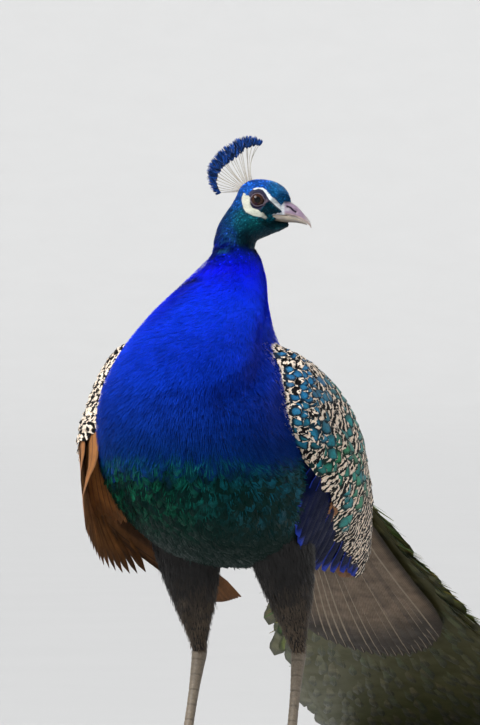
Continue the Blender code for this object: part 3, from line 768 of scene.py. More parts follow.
class Nodes:
    """A node tree with a short way to add each kind of node; inputs take numbers, colours or sockets."""

    def __init__(self, tree: bpy.types.NodeTree) -> None:
        """Keep the tree."""
        self.tree = tree

    def give(self, node: bpy.types.Node, key: object, value: object) -> None:
        """Give one input of a node a value or a link."""
        if isinstance(value, Socket):
            self.tree.links.new(value, node.inputs[key])
        else:
            node.inputs[key].default_value = value

    def add(self, kind: str, inputs: dict | None = None, **settings: object) -> bpy.types.Node:
        """Add a node, set its options, and give its named inputs."""
        made = self.tree.nodes.new("ShaderNode" + kind)
        for key, value in settings.items():
            setattr(made, key, value)
        for key, value in (inputs or {}).items():
            self.give(made, key, value)
        return made

    def math(self, operation: str, a: object, b: object = 0.0, c: object = 0.0) -> Socket:
        """One step of arithmetic."""
        return self.add("Math", {0: a, 1: b, 2: c}, operation=operation).outputs[0]

    def times(self, a: object, b: object) -> Socket:
        """a * b."""
        return self.math("MULTIPLY", a, b)

    def plus(self, a: object, b: object) -> Socket:
        """a + b."""
        return self.math("ADD", a, b)

    def scaled(self, a: object, b: object, c: object) -> Socket:
        """a * b + c."""
        return self.math("MULTIPLY_ADD", a, b, c)

    def squared(self, a: object) -> Socket:
        """a * a."""
        return self.math("POWER", a, 2.0)

    def wave(self, turns: object) -> Socket:
        """Sine of a number of turns."""
        return self.math("SINE", self.times(turns, 2 * math.pi))

    def span(self, value: object, low: float, high: float, to_low: float = 0.0,
             to_high: float = 1.0) -> Socket:
        """Spread a value smoothly from one range to another."""
        return self.add("MapRange", {0: value, 1: low, 2: high, 3: to_low, 4: to_high},
                        interpolation_type="SMOOTHSTEP").outputs[0]

    def blend(self, share: object, a: object, b: object) -> Socket:
        """Mix two colours."""
        made = self.add("Mix", data_type="RGBA")
        for key, value in ((0, share), (6, a), (7, b)):
            self.give(made, key, value if key == 0 or isinstance(value, Socket) else (*value[:3], 1.0))
        return made.outputs[2]

    def lit(self, colour: object, light: Socket) -> Socket:
        """A colour made brighter or darker by a number."""
        return self.add("VectorMath", {0: colour, "Scale": light}, operation="SCALE").outputs[0]

    def noise(self, place: Socket, scale: object, detail: float, **inputs: float) -> Socket:
        """Cloudy noise at a place."""
        return self.add("TexNoise",
                        {"Vector": place, "Scale": scale, "Detail": detail} | inputs).outputs["Fac"]

    def vector(self, *parts: object) -> Socket:
        """Put numbers together into a vector."""
        return self.add("CombineXYZ", dict(enumerate(parts))).outputs[0]

    def painted(self, name: str) -> bpy.types.Node:
        """Read a painted attribute."""
        return self.add("Attribute", attribute_name=name)

    def tone(self) -> Socket:
        """The painted colour."""
        return self.painted("Tone").outputs["Color"]

    def vane_axes(self) -> tuple:
        """Place on the feather: along it from 0 to 1, and across it from -1 to 1."""
        place = self.add("UVMap", uv_map="Vane").outputs[0]
        apart = self.add("SeparateXYZ", {0: place})
        return apart.outputs[0], self.scaled(apart.outputs[1], 2.0, -1.0)


def new_group(name: str, inputs: tuple, outputs: tuple) -> tuple:
    """Start a shared shader group.

    Args:
        name: its name.
        inputs: its number inputs, (name, value).
        outputs: the names of its number outputs.

    Returns:
        Its nodes, its input sockets and its output node.
    """
    tree = bpy.data.node_groups.new(name, "ShaderNodeTree")
    for key, value in inputs:
        tree.interface.new_socket(name=key, in_out="INPUT",
                                  socket_type="NodeSocketFloat").default_value = value
    for key in outputs:
        tree.interface.new_socket(name=key, in_out="OUTPUT", socket_type="NodeSocketFloat")
    return Nodes(tree), tree.nodes.new("NodeGroupInput").outputs, tree.nodes.new("NodeGroupOutput")


def make_mottle() -> bpy.types.NodeTree:
    """Shared effect: cloudy brightness that changes over the body, as worn and living plumage has."""
    nodes, given, out = new_group("Mottle", (("Scale", 40.0), ("Low", 0.8), ("High", 1.2)), ("Share",))
    place = nodes.add("TexCoord").outputs["Object"]
    cloud = nodes.noise(place, given["Scale"], 4.0, Roughness=0.6)
    spread = nodes.add("MapRange", {0: cloud, 1: 0.3, 2: 0.7, 3: given["Low"], 4: given["High"]}).outputs[0]
    nodes.give(out, "Share", spread)
    return nodes.tree


def make_barbs() -> bpy.types.NodeTree:
    """Shared effect: fine barbs slanting outwards: sine of (along * rate - |across| * slant)."""
    nodes, given, out = new_group("Barbs", (("Rate", 30.0), ("Slant", 8.0), ("Shaft", 0.06)),
                                  ("Share", "Shaft"))
    along, across = nodes.vane_axes()
    aside = nodes.math("ABSOLUTE", across)
    turns = nodes.math("SUBTRACT", nodes.times(along, given["Rate"]), nodes.times(aside, given["Slant"]))
    nodes.give(out, "Share", nodes.scaled(nodes.wave(turns), 0.5, 0.5))
    nodes.give(out, "Shaft", nodes.math("LESS_THAN", aside, given["Shaft"]))
    return nodes.tree


MOTTLE = make_mottle()
BARBS = make_barbs()


class Finish(Nodes):
    """A material on its way, with its Principled shader."""

    def __init__(self, name: str) -> None:
        """Start the material."""
        self.material = bpy.data.materials.new(name)
        self.material.use_nodes = True
        super().__init__(self.material.node_tree)

    def effect(self, group: bpy.types.NodeTree, **values: float) -> bpy.types.NodeOutputs:
        """Place a shared effect with its own values."""
        return self.add("Group", values, node_tree=group).outputs

    def mottle(self, scale: float, low: float, high: float) -> Socket:
        """Cloudy brightness between two values."""
        return self.effect(MOTTLE, Scale=scale, Low=low, High=high)[0]

    def done(self, colour: object, roughness: object, relief: tuple = (),
             **values: object) -> bpy.types.Material:
        """Link everything to the shader.

        Args:
            colour, roughness: values or sockets.
            relief: strength, depth and height socket of the relief, if any.
            values: plain values of other sockets; underscores stand for spaces.

        Returns:
            The material.
        """
        shader = self.tree.nodes["Principled BSDF"]
        self.give(shader, "Base Color", colour)
        self.give(shader, "Roughness", roughness)
        if relief:
            bump = self.add("Bump", dict(zip(("Strength", "Distance", "Height"), relief)))
            self.give(shader, "Normal", bump.outputs[0])
        for key, value in values.items():
            shader.inputs[key.replace("_", " ")].default_value = value
        return self.material


@dataclass(frozen=True)
class Plumage:
    """Feathers whose colour is painted on them, with barbs, cloudy brightness and a soft coloured gloss.

    Attributes:
        name: the material's name.
        gloss: colour of the specular reflection.
        sheen, sheen_weight: colour and strength of the soft sheen at grazing light.
        roughness: roughness of the vanes.
        level: strength of the specular reflection.
        barbs: rate of the barbs along a feather.
        depth: strength of the barbs in the colour.
        cloud: scale of the mottling.
        vary: low and high brightness of the mottling.
        edge: how dark the rim of a feather is; below zero, how dark its middle is.
        rim: where the rim starts and is full, as shares of the way out.
        shaft, shaft_colour: half width of the shaft, as a share of the feather's, and its colour.
        metal: share of metallic reflection, as structural colours have.
    """

    name: str
    gloss: tuple = (1.0, 1.0, 1.0, 1.0)
    sheen: tuple = (1.0, 1.0, 1.0, 1.0)
    sheen_weight: float = 0.10
    roughness: float = 0.5
    level: float = 0.4
    barbs: float = 14.0
    depth: float = 0.25
    cloud: float = 60.0
    vary: tuple = (0.78, 1.25)
    edge: float = 0.0
    rim: tuple = (0.62, 0.88)
    shaft: float = 0.0
    shaft_colour: tuple = (0.5, 0.45, 0.35)
    metal: float = 0.0

    def make(self) -> bpy.types.Material:
        """Build the material: tone * mottle * barbs, a dark rim, a pale shaft, and barbs in the normal."""
        made = Finish(self.name)
        tone, mottle = made.tone(), made.mottle(self.cloud, *self.vary)
        barbs = made.effect(BARBS, Rate=self.barbs, Slant=self.barbs * 0.3, Shaft=self.shaft)
        light = made.times(mottle, made.span(barbs[0], 0, 1, 1 - self.depth, 1 + self.depth))
        if self.edge:
            along, across = made.vane_axes()
            out = made.math("MAXIMUM", made.math("ABSOLUTE", across), made.span(along, 0.45, 1.0))
            light = made.times(light,
                               made.span(out, *self.rim, 1.0 + min(self.edge, 0.0), 1 - max(self.edge, 0.0)))
        colour = made.lit(tone, light)
        if self.shaft:
            colour = made.blend(barbs[1], colour, self.shaft_colour)
        roughness = made.span(mottle, *self.vary, self.roughness + 0.08, self.roughness - 0.08)
        return made.done(colour, roughness, (0.25, 0.0006, barbs[0]), Specular_IOR_Level=self.level,
                         Specular_Tint=self.gloss, Sheen_Weight=self.sheen_weight, Sheen_Roughness=0.4,
                         Sheen_Tint=self.sheen, Metallic=self.metal)


@dataclass(frozen=True)
class BarredVanes:
    """Wing coverts: black-brown with ragged cream bars and, where marked, a glossy coloured centre.

    The marks are: how strong the centre is, how pale the feather is, its chance number, its length (dm).
    """

    name: str = "barred_coverts"
    dark: tuple = tuple(tint(11, 9, 11))
    pale: tuple = tuple(tint(246, 232, 214))
    buff: tuple = tuple(tint(212, 176, 140))
    bars: float = 11.5

    def make(self) -> bpy.types.Material:
        """Build it: bars = sine of (length along * rate + noise + |across|), wider towards the margins."""
        made = Finish(self.name)
        along, across = made.vane_axes()
        mark = made.painted("Mark")
        centre, pallor, chance = made.add("SeparateXYZ", {0: mark.outputs["Vector"]}).outputs
        aside = made.math("ABSOLUTE", across)
        length = made.times(along, mark.outputs["Alpha"])
        spot = made.vector(made.times(length, 15.0), across, made.times(chance, 60.0))
        rough, fine = made.noise(spot, 1.7, 2.5), made.noise(spot, 4.5, 2.0)
        turns = made.scaled(length, self.bars, made.scaled(rough, 1.5, made.scaled(aside, -0.55, chance)))
        level = made.plus(made.wave(turns), made.scaled(fine, 1.7, -0.85))
        level = made.plus(level, made.scaled(pallor, 1.1, -0.55))
        ahead = made.math("DIVIDE", made.math("SUBTRACT", along, 0.74), 0.23)
        reach = made.plus(made.squared(ahead), made.squared(made.math("DIVIDE", aside, 0.60)))
        reach = made.plus(reach, made.scaled(rough, 1.2, -0.6))
        inner = made.times(made.span(reach, 1.0, 0.7), made.span(centre, 0.1, 0.5))
        rim = made.times(made.span(reach, 1.65, 1.30), made.span(centre, 0.1, 0.5))
        bars = made.times(made.span(level, 0.05, 0.20), made.math("SUBTRACT", 1.0, rim))
        cream = made.blend(made.span(fine, 0.25, 0.58), self.buff, self.pale)
        tone = made.tone()
        colour = made.blend(bars, made.blend(made.times(centre, 0.16), self.dark, tone), cream)
        light = made.times(made.span(fine, 0.3, 0.7, 0.75, 1.25), made.span(reach, 0.0, 0.9, 1.45, 0.60))
        colour = made.blend(inner, colour, made.lit(tone, light))
        colour = made.lit(colour, made.mottle(90.0, 0.82, 1.15))
        barbs = made.effect(BARBS, Rate=26.0, Slant=9.0, Shaft=0.05)
        return made.done(colour, made.span(inner, 0, 1, 0.66, 0.36), (0.35, 0.0006, barbs[0]),
                         Specular_IOR_Level=0.14)


@dataclass(frozen=True)
class EyeSpot:
    """The train's eye: rings of colour about a heart-shaped centre, worked out from the place on the disc."""

    name: str = "train_eyes"
    rings: tuple = ((0.00, tint(18, 14, 72)), (0.25, tint(20, 20, 96)), (0.29, tint(10, 110, 150)),
                    (0.44, tint(24, 150, 150)), (0.48, tint(116, 72, 24)), (0.66, tint(140, 92, 34)),
                    (0.70, tint(170, 160, 60)), (0.76, tint(60, 110, 44)), (0.82, tint(150, 120, 60)),
                    (0.90, tint(70, 96, 40)), (1.00, tint(84, 78, 36)))

    def make(self) -> bpy.types.Material:
        """Build it: a colour ramp over distance = length of (along, across) with a notch at the shaft."""
        made = Finish(self.name)
        along, across = made.vane_axes()
        ahead, aside = made.scaled(along, 2.0, -1.08), made.math("ABSOLUTE", across)
        away = made.math("SQRT", made.plus(made.squared(ahead), made.squared(aside)))
        notch = made.times(made.span(aside, 0.26, 0.0), made.span(ahead, 0.05, -0.45, 0.0, 0.16))
        heart = made.plus(away, made.times(notch, made.span(away, 0.55, 0.25)))
        bands = made.add("ValToRGB", {0: heart})
        stops = bands.color_ramp.elements
        for place, _ in self.rings[1:-1]:
            stops.new(place)
        for stop, (_, colour) in zip(stops, self.rings):
            stop.color = (*colour, 1)
        barbs = made.effect(BARBS, Rate=22.0, Slant=9.0, Shaft=0.03)
        light = made.times(made.mottle(50.0, 0.85, 1.2), made.span(barbs[0], 0, 1, 0.72, 1.2))
        return made.done(made.lit(bands.outputs[0], light), made.span(away, 0.4, 0.8, 0.30, 0.45),
                         (0.4, 0.0006, barbs[0]), Specular_IOR_Level=0.6, Sheen_Weight=0.1, Metallic=0.25)


@dataclass(frozen=True)
class Hide:
    """Bare skin, bill and leg scales: painted colour, cloudy variation, and pebbled or lengthwise relief.

    Attributes:
        name: the material's name.
        roughness, level: roughness, and strength of the specular reflection.
        pebble, relief: scale of the cells, and how strongly they show in the normal.
        stretch: how the cells are drawn out along x, y and z.
        vary, cloud: low and high brightness of the mottling, and its scale.
        soft: share of light that enters the surface.
    """

    name: str
    roughness: float = 0.5
    level: float = 0.45
    pebble: float = 900.0
    relief: float = 0.3
    stretch: tuple = (1.0, 1.0, 1.0)
    vary: tuple = (0.85, 1.15)
    cloud: float = 160.0
    soft: float = 0.0

    def make(self) -> bpy.types.Material:
        """Build it: tone * mottle, with cells pressed into the normal and darker between them."""
        made = Finish(self.name)
        place = made.add("TexCoord").outputs["Object"]
        place = made.add("Mapping", {0: place, "Scale": self.stretch}).outputs[0]
        cells = made.add("TexVoronoi", {"Vector": place, "Scale": self.pebble}).outputs["Distance"]
        grain = made.noise(place, self.pebble * 0.6, 3.0)
        light = made.times(made.mottle(self.cloud, *self.vary), made.span(cells, 0.1, 0.75, 1.06, 0.84))
        height = made.scaled(grain, 0.5, made.times(cells, -1.0))
        roughness = made.span(grain, 0.3, 0.7, self.roughness + 0.07, self.roughness - 0.07)
        return made.done(made.lit(made.tone(), light), roughness, (self.relief, 0.0004, height),
                         Specular_IOR_Level=self.level, Subsurface_Weight=self.soft,
                         Subsurface_Radius=(0.002, 0.0012, 0.0008), Subsurface_Scale=1.0)


@dataclass(frozen=True)
class EyeGlass:
    """A wet eye: black pupil, brown iris with fine rays, darker rim, by the distance from the axis."""

    name: str = "wet_eye"
    pupil: float = 0.38
    black: tuple = (0.004, 0.004, 0.005)
    iris: tuple = tuple(tint(80, 50, 34))
    deep: tuple = tuple(tint(34, 21, 16))

    def make(self) -> bpy.types.Material:
        """Build it: pupil, iris and rim by distance from the axis, with rays round it, under clear gloss."""
        made = Finish(self.name)
        away, turn, _ = made.add("SeparateXYZ", {0: made.painted("Mark").outputs["Vector"]}).outputs
        rays = made.noise(made.vector(made.times(turn, 60.0), made.times(away, 5.0)), 1.0, 3.0)
        iris = made.blend(made.span(rays, 0.35, 0.65), self.deep, self.iris)
        iris = made.blend(made.span(away, 0.62, 0.80), iris, self.deep)
        colour = made.blend(made.span(away, self.pupil, self.pupil + 0.035), self.black, iris)
        return made.done(colour, made.span(away, 0.2, 0.9, 0.10, 0.16), Specular_IOR_Level=0.06,
                         Coat_Weight=0.28, Coat_Roughness=0.02)


@dataclass(frozen=True)
class Ground:
    """A plain pale matt floor with the faintest unevenness."""

    name: str = "studio_floor"
    pale: tuple = (0.56, 0.56, 0.555)

    def make(self) -> bpy.types.Material:
        """Build it: one pale colour, clouded by a hundredth."""
        made = Finish(self.name)
        return made.done(made.lit(self.pale, made.mottle(3.0, 0.99, 1.01)), 0.9, Specular_IOR_Level=0.1)


# ---- Markings, shared by skin and coat -------------------------------------------------------------
class Markings:
    """Where each colour of the bird lies, for skin and coat alike."""

    BLUE_EDGE = ((0, 9.1), (30, 8.9), (60, 7.3), (90, 5.75), (120, 7.0), (150, 7.85), (180, 8.05))
    # Blue by height: the change of hue is the bird's own; the darkening low on the breast and just under the
    # head is partly painted shade.
    BLUE_BY_HEIGHT = ((0.370, tint(8, 46, 108)), (0.400, tint(9, 47, 122)), (0.4125, tint(10, 47, 134)),
                      (0.4455, tint(10, 48, 158)), (0.4895, tint(13, 58, 206)), (0.5445, tint(16, 72, 250)),
                      (0.585, tint(12, 24, 250)), (0.612, tint(12, 30, 170)))
    # Named places of the head's plane (forward, up), how far each reaches, and its colour.
    HEAD_COLOURS = (
        (0.040, 0.681, 0.012, tint(26, 84, 186, 1.2)),     # crown
        (0.068, 0.671, 0.010, tint(28, 104, 166, 1.2)),    # forehead
        (0.057, 0.650, 0.006, tint(8, 48, 60)),            # lore
        (0.018, 0.664, 0.008, tint(18, 66, 150, 1.1)),     # back of the crown
        (0.008, 0.645, 0.010, tint(9, 48, 100)),           # nape
        (0.000, 0.625, 0.010, tint(13, 34, 112)),          # nape, low
        (0.026, 0.640, 0.008, tint(10, 66, 78, 1.1)),      # ear
        (0.040, 0.6335, 0.006, tint(12, 72, 72)),          # cheek
        # These three places paint a highlight along the jaw's ridge under the white patch.
        (0.030, 0.6390, 0.003, tint(20, 104, 118)),        # fold under the patch
        (0.045, 0.6385, 0.003, tint(20, 110, 128)),
        (0.056, 0.6410, 0.003, tint(20, 112, 134)),
        # Chin, below the cheek and throat: dark feathers, darkened further by painted shade under the jaw.
        (0.062, 0.6325, 0.005, tint(8, 40, 44)),           # chin
        (0.048, 0.6270, 0.006, tint(7, 30, 32)),           # below the cheek
        (0.034, 0.619, 0.008, tint(8, 26, 32)),            # throat
        (0.044, 0.610, 0.008, tint(8, 36, 46)),            # throat, low
    )
    STRIPE = ((0.0368, 0.6712), (0.0425, 0.6727), (0.0473, 0.6716), (0.0512, 0.6677), (0.0556, 0.6616),
              (0.0628, 0.6548), (0.0702, 0.6478))
    STRIPE_HALF = ((0, 0.0006), (0.33, 0.0012), (0.5, 0.0017), (0.67, 0.0026), (0.83, 0.0026), (1.0, 0.0018))
    PATCH = ((0.0273, 0.6686), (0.0241, 0.6641), (0.0241, 0.6577), (0.0263, 0.6494), (0.0290, 0.6458),
             (0.0364, 0.6422), (0.0455, 0.6403), (0.0501, 0.6384), (0.0530, 0.6400), (0.0473, 0.6452),
             (0.0418, 0.6481), (0.0354, 0.6503), (0.0328, 0.6549), (0.0332, 0.6613), (0.0290, 0.6668))
    ORBIT = ((0.0373, 0.6722), (0.0325, 0.6675), (0.0312, 0.6600), (0.0328, 0.6545), (0.0354, 0.6500),
             (0.0418, 0.6480), (0.0462, 0.6496), (0.0500, 0.6540), (0.0548, 0.6582), (0.0565, 0.6605),
             (0.0512, 0.6677), (0.0473, 0.6718))
    # Left rim of the neck by height, with painted shade on its inside, and painted shade along the folds:
    # line, breadth and depth.
    NECK_SHADE_EDGE = ((0.500, -0.100), (0.545, -0.056), (0.575, -0.036), (0.600, -0.013), (0.612, -0.004))
    FOLD_SHADE = ((((-0.0530, 0.5620), (-0.0380, 0.5690), (-0.0230, 0.5745)), 0.0028, 0.88),
             (((-0.0150, 0.6030), (0.0000, 0.6080), (0.0137, 0.6095)), 0.0026, 0.85),
             (((-0.0204, 0.5975), (-0.0040, 0.6005)), 0.0022, 0.75))
    WHITE = tint(234, 240, 240)
    IVORY = tint(200, 202, 184)
    NAVY = tint(24, 24, 56)
    MAUVE = tint(96, 84, 96)

    @staticmethod
    def back_angle(b: Array) -> Array:
        """Degrees round the body from the back (0) to the belly (180), alike on both sides."""
        return 180 - np.abs(180 - (b % 1) * 360)

    @classmethod
    def above_edge(cls, a: Array, b: Array) -> Array:
        """How many stations a place of the body lies past the lower edge of the blue."""
        return a * LAST_STATION - ramp(cls.BLUE_EDGE, cls.back_angle(b))

    @classmethod
    def bare(cls, forward: Array, up: Array) -> tuple:
        """Signed distances to the white stripe, the white patch and the dark skin round the eye."""
        away, along = line_distance(forward, up, cls.STRIPE)
        return (away - ramp(cls.STRIPE_HALF, along), outline_distance(forward, up, cls.PATCH) - 0.0002,
                outline_distance(forward, up, cls.ORBIT))

    @classmethod
    def face(cls, forward: Array, up: Array, base: Array) -> Array:
        """Colour of the skin of the face, painted over `base`."""
        stripe, patch, orbit = cls.bare(forward, up)
        turn = np.arctan2(up - EYE_AT[1], forward - EYE_AT[0])
        away = np.hypot(up - EYE_AT[1], forward - EYE_AT[0])
        dark = mix(cls.NAVY, cls.MAUVE, ease(np.cos(turn + 0.35), 0.86, 0.99) * ease(away, 0.0135, 0.0095))
        for distance, colour in ((orbit, dark), (patch, cls.IVORY), (stripe, cls.WHITE)):
            base = mix(base, colour, ease(-distance, -0.0003, 0.0003))
        return base

    @classmethod
    def head(cls, forward: Array, up: Array) -> Array:
        """Feather colour of the head: named places mixed by exp(-(distance / reach)^2)."""
        total, weight = 0.0, 1e-6
        for ahead, high, reach, colour in cls.HEAD_COLOURS:
            share = np.exp(-((forward - ahead) ** 2 + (up - high) ** 2) / reach ** 2)
            total, weight = total + share[..., None] * colour, weight + share
        return total / weight[..., None]

    @classmethod
    def blue(cls, up: Array) -> Array:
        """The neck and breast's blue by height, darker low down and just under the head partly as painted
        shade.
        """
        return np.stack([ramp([(key, colour[i]) for key, colour in cls.BLUE_BY_HEIGHT], up)
                         for i in range(3)], -1)

    @classmethod
    def belly(cls, points: Array, chance: Array) -> Array:
        """Belly and flanks: black-green with painted glints of emerald and teal on some feathers, blacker
        below with painted shade.
        """
        glint = mix(tint(14, 86, 62, 1.1), tint(12, 66, 104, 1.1), ease(points[..., 0], -0.02, 0.09) * 0.7)
        coloured = mix(tint(9, 24, 26), glint, ease(chance, 0.35, 0.95))
        # Painted shade on the underside: blacker below.
        return mix(tint(14, 14, 16), coloured, ease(points[..., 2], 0.285, 0.350))

    @classmethod
    def mantle(cls, points: Array, chance: Array) -> Array:
        """Upper back: scales of green gold, bluer towards the neck."""
        golden = mix(tint(28, 118, 78, 1.1), tint(126, 132, 40, 1.1), ease(chance, 0.2, 0.9))
        return mix(tint(16, 96, 104), golden, ease(points[..., 1], 0.035, 0.075))

    @classmethod
    def coat(cls, points: Array, a: Array, b: Array, chance: Array) -> Array:
        """Colour of the coat at a place of the body, by station, angle from the back, and a chance number.

        Args:
            points: roots of the feathers.
            a, b: their shares along and round the body.
            chance: a random number for each.

        Returns:
            Colours (points, 3).
        """
        past = a * LAST_STATION - (ramp(cls.BLUE_EDGE, cls.back_angle(b)) + 0.35 * (chance - 0.5))
        base = mix(cls.belly(points, chance), cls.mantle(points, chance), ease(cls.back_angle(b), 96, 76))
        forward, up, side = head_plane(points)
        # Painted shade on the inside of the neck's left rim, the side away from the light.
        rim = ease(ramp(cls.NECK_SHADE_EDGE, up) - forward, -0.024, 0.002) * ease(up, 0.500, 0.545)
        neck = cls.blue(up) * (1 - rim[..., None] * [0.45, 0.68, 0.34])
        skull = ease(up + 0.30 * (forward - 0.01), 0.6085, 0.6200) * ease(a * LAST_STATION, 12.2, 13.4)
        upper = mix(neck, cls.head(forward, up), skull)
        # Painted shade along the folds on the near side.
        for line, breadth, depth in cls.FOLD_SHADE:
            fold = near_line(forward, up, line, breadth) * ease(-side, 0.000, 0.020)
            upper = upper * (1 - depth * fold[..., None])
        return mix(base, upper, ease(past, -0.30, 0.25))


# ---- Body -----------------------------------------------------------------------------------------
# The bill as shares of the head's plane: ridge, mouth, keel and half width by distance forward.
CULMEN = ((0.056, 0.6540), (0.060, 0.6560), (0.070, 0.6580), (0.0747, 0.6578), (0.0802, 0.6558),
          (0.0856, 0.6518), (0.0910, 0.6458), (0.0957, 0.6403), (0.0990, 0.6350), (0.1006, 0.6292))
MOUTH = ((0.054, 0.6420), (0.060, 0.6434), (0.069, 0.6432), (0.078, 0.6416), (0.086, 0.6396),
         (0.092, 0.6366), (0.0965, 0.6332), (0.0990, 0.6304), (0.1003, 0.6284))
KEEL = ((0.054, 0.6385), (0.063, 0.6362), (0.074, 0.6350), (0.083, 0.6346), (0.089, 0.6337),
        (0.0940, 0.6324), (0.0962, 0.6319))
BILL_WIDTH = ((0.054, 0.0092), (0.062, 0.0086), (0.070, 0.0080), (0.078, 0.0071), (0.086, 0.0057),
              (0.092, 0.0043), (0.097, 0.0026), (0.1008, 0.0009))
# Where the bill shows: the feathers of lore, forehead and chin end along this line.
BILL_ROOT = ((0.0560, 0.6424), (0.0640, 0.6442), (0.0688, 0.6452), (0.0684, 0.6528), (0.0722, 0.6574),
             (0.0790, 0.6606), (0.1100, 0.6620), (0.1100, 0.6200), (0.0775, 0.6200), (0.0755, 0.6340),
             (0.0690, 0.6356), (0.0622, 0.6362), (0.0634, 0.6402))
# How far forward the head's flesh reaches, by height.
SNOUT = ((0.600, 0.0800), (0.620, 0.0765), (0.632, 0.0750), (0.636, 0.0750), (0.640, 0.0740), (0.656, 0.0740),
         (0.6585, 0.0775), (0.662, 0.0800), (0.70, 0.0800))
THIGH_RADIUS = ((0, 0.042), (0.35, 0.037), (0.7, 0.023), (0.9, 0.0125), (1.0, 0.0085))


def bill_side(forward: Array, up: Array) -> Array:
    """Half width of the bill at a place: width * sqrt(1 - share^2), from mouth to ridge or keel."""
    mouth = curve(MOUTH, forward)
    edge = np.where(up > mouth, curve(CULMEN, forward), curve(KEEL, forward))
    share = np.clip((up - mouth) / np.where(np.abs(edge - mouth) < 1e-5, 1e-5, edge - mouth), 0, 1)
    return curve(BILL_WIDTH, forward) * np.sqrt(1 - share ** 2)


def fit_bill(points: Array, sunk: float = 0.0008) -> Array:
    """Narrow the head towards the bill's root, so that the bill stands out of the feathers.

    Args:
        points: places on the head or the body.
        sunk: how far the skin lies under the bill there.

    Returns:
        The moved points.
    """
    forward, up, side = head_plane(points)
    here = (forward > 0.040) & (up > 0.600)
    pushed = np.where(here, np.minimum(forward, curve(SNOUT, up)), forward)
    outside = outline_distance(pushed, up, BILL_ROOT)
    limit = np.maximum(bill_side(pushed, up) - sunk, 0.0004) + 1.25 * np.maximum(outside, 0)
    limit = np.where(outside > 0, np.maximum(limit, 0.8 * outside), limit)
    narrow = np.sign(side) * np.minimum(np.abs(side), np.maximum(limit, 0.0003))
    moved = head_point(pushed, up, np.where(here, narrow, side))
    return np.where(here[..., None], moved, points)


def body_outline() -> Surface:
    """The outline that the coat fills, from the frame's own stations, with its soft valleys pressed in."""
    points = fit_bill(body_rings(np.linspace(0, LAST_STATION, 460), 160))
    plain = Surface(points, wrap=True).facing((100, 40), points[100, 40] - points[100].mean(0))
    return Surface(press_creases(plain.points, plain.normals), True, plain.outward)


def thigh_surface(side: float, swell: float) -> Surface:
    """One thigh as a surface: a tapering tube that bows back a little from the hip to the heel.

    Args:
        side: 1 for the left one, -1 for the right one.
        swell: how far to widen it at the hip.

    Returns:
        The thigh's surface.
    """
    heel, hip = HEEL * [side, 1, 1], np.array([side * 0.053, 0.020, 0.330])
    t = np.linspace(0, 1, 40)
    path = hip + (heel - hip) * t[:, None] + np.array([0, 0.006, 0]) * np.sin(math.pi * t)[:, None]
    radii = np.maximum(curve(THIGH_RADIUS, t) + swell * (1 - 0.6 * t), 0.004)
    rings = tube_rings(path, radii, 36, (0.0, 1.0, 0.0))
    return Surface(np.concatenate([rings, rings[:, :1]], 1)).facing((5, 5), rings[5, 5] - path[5])


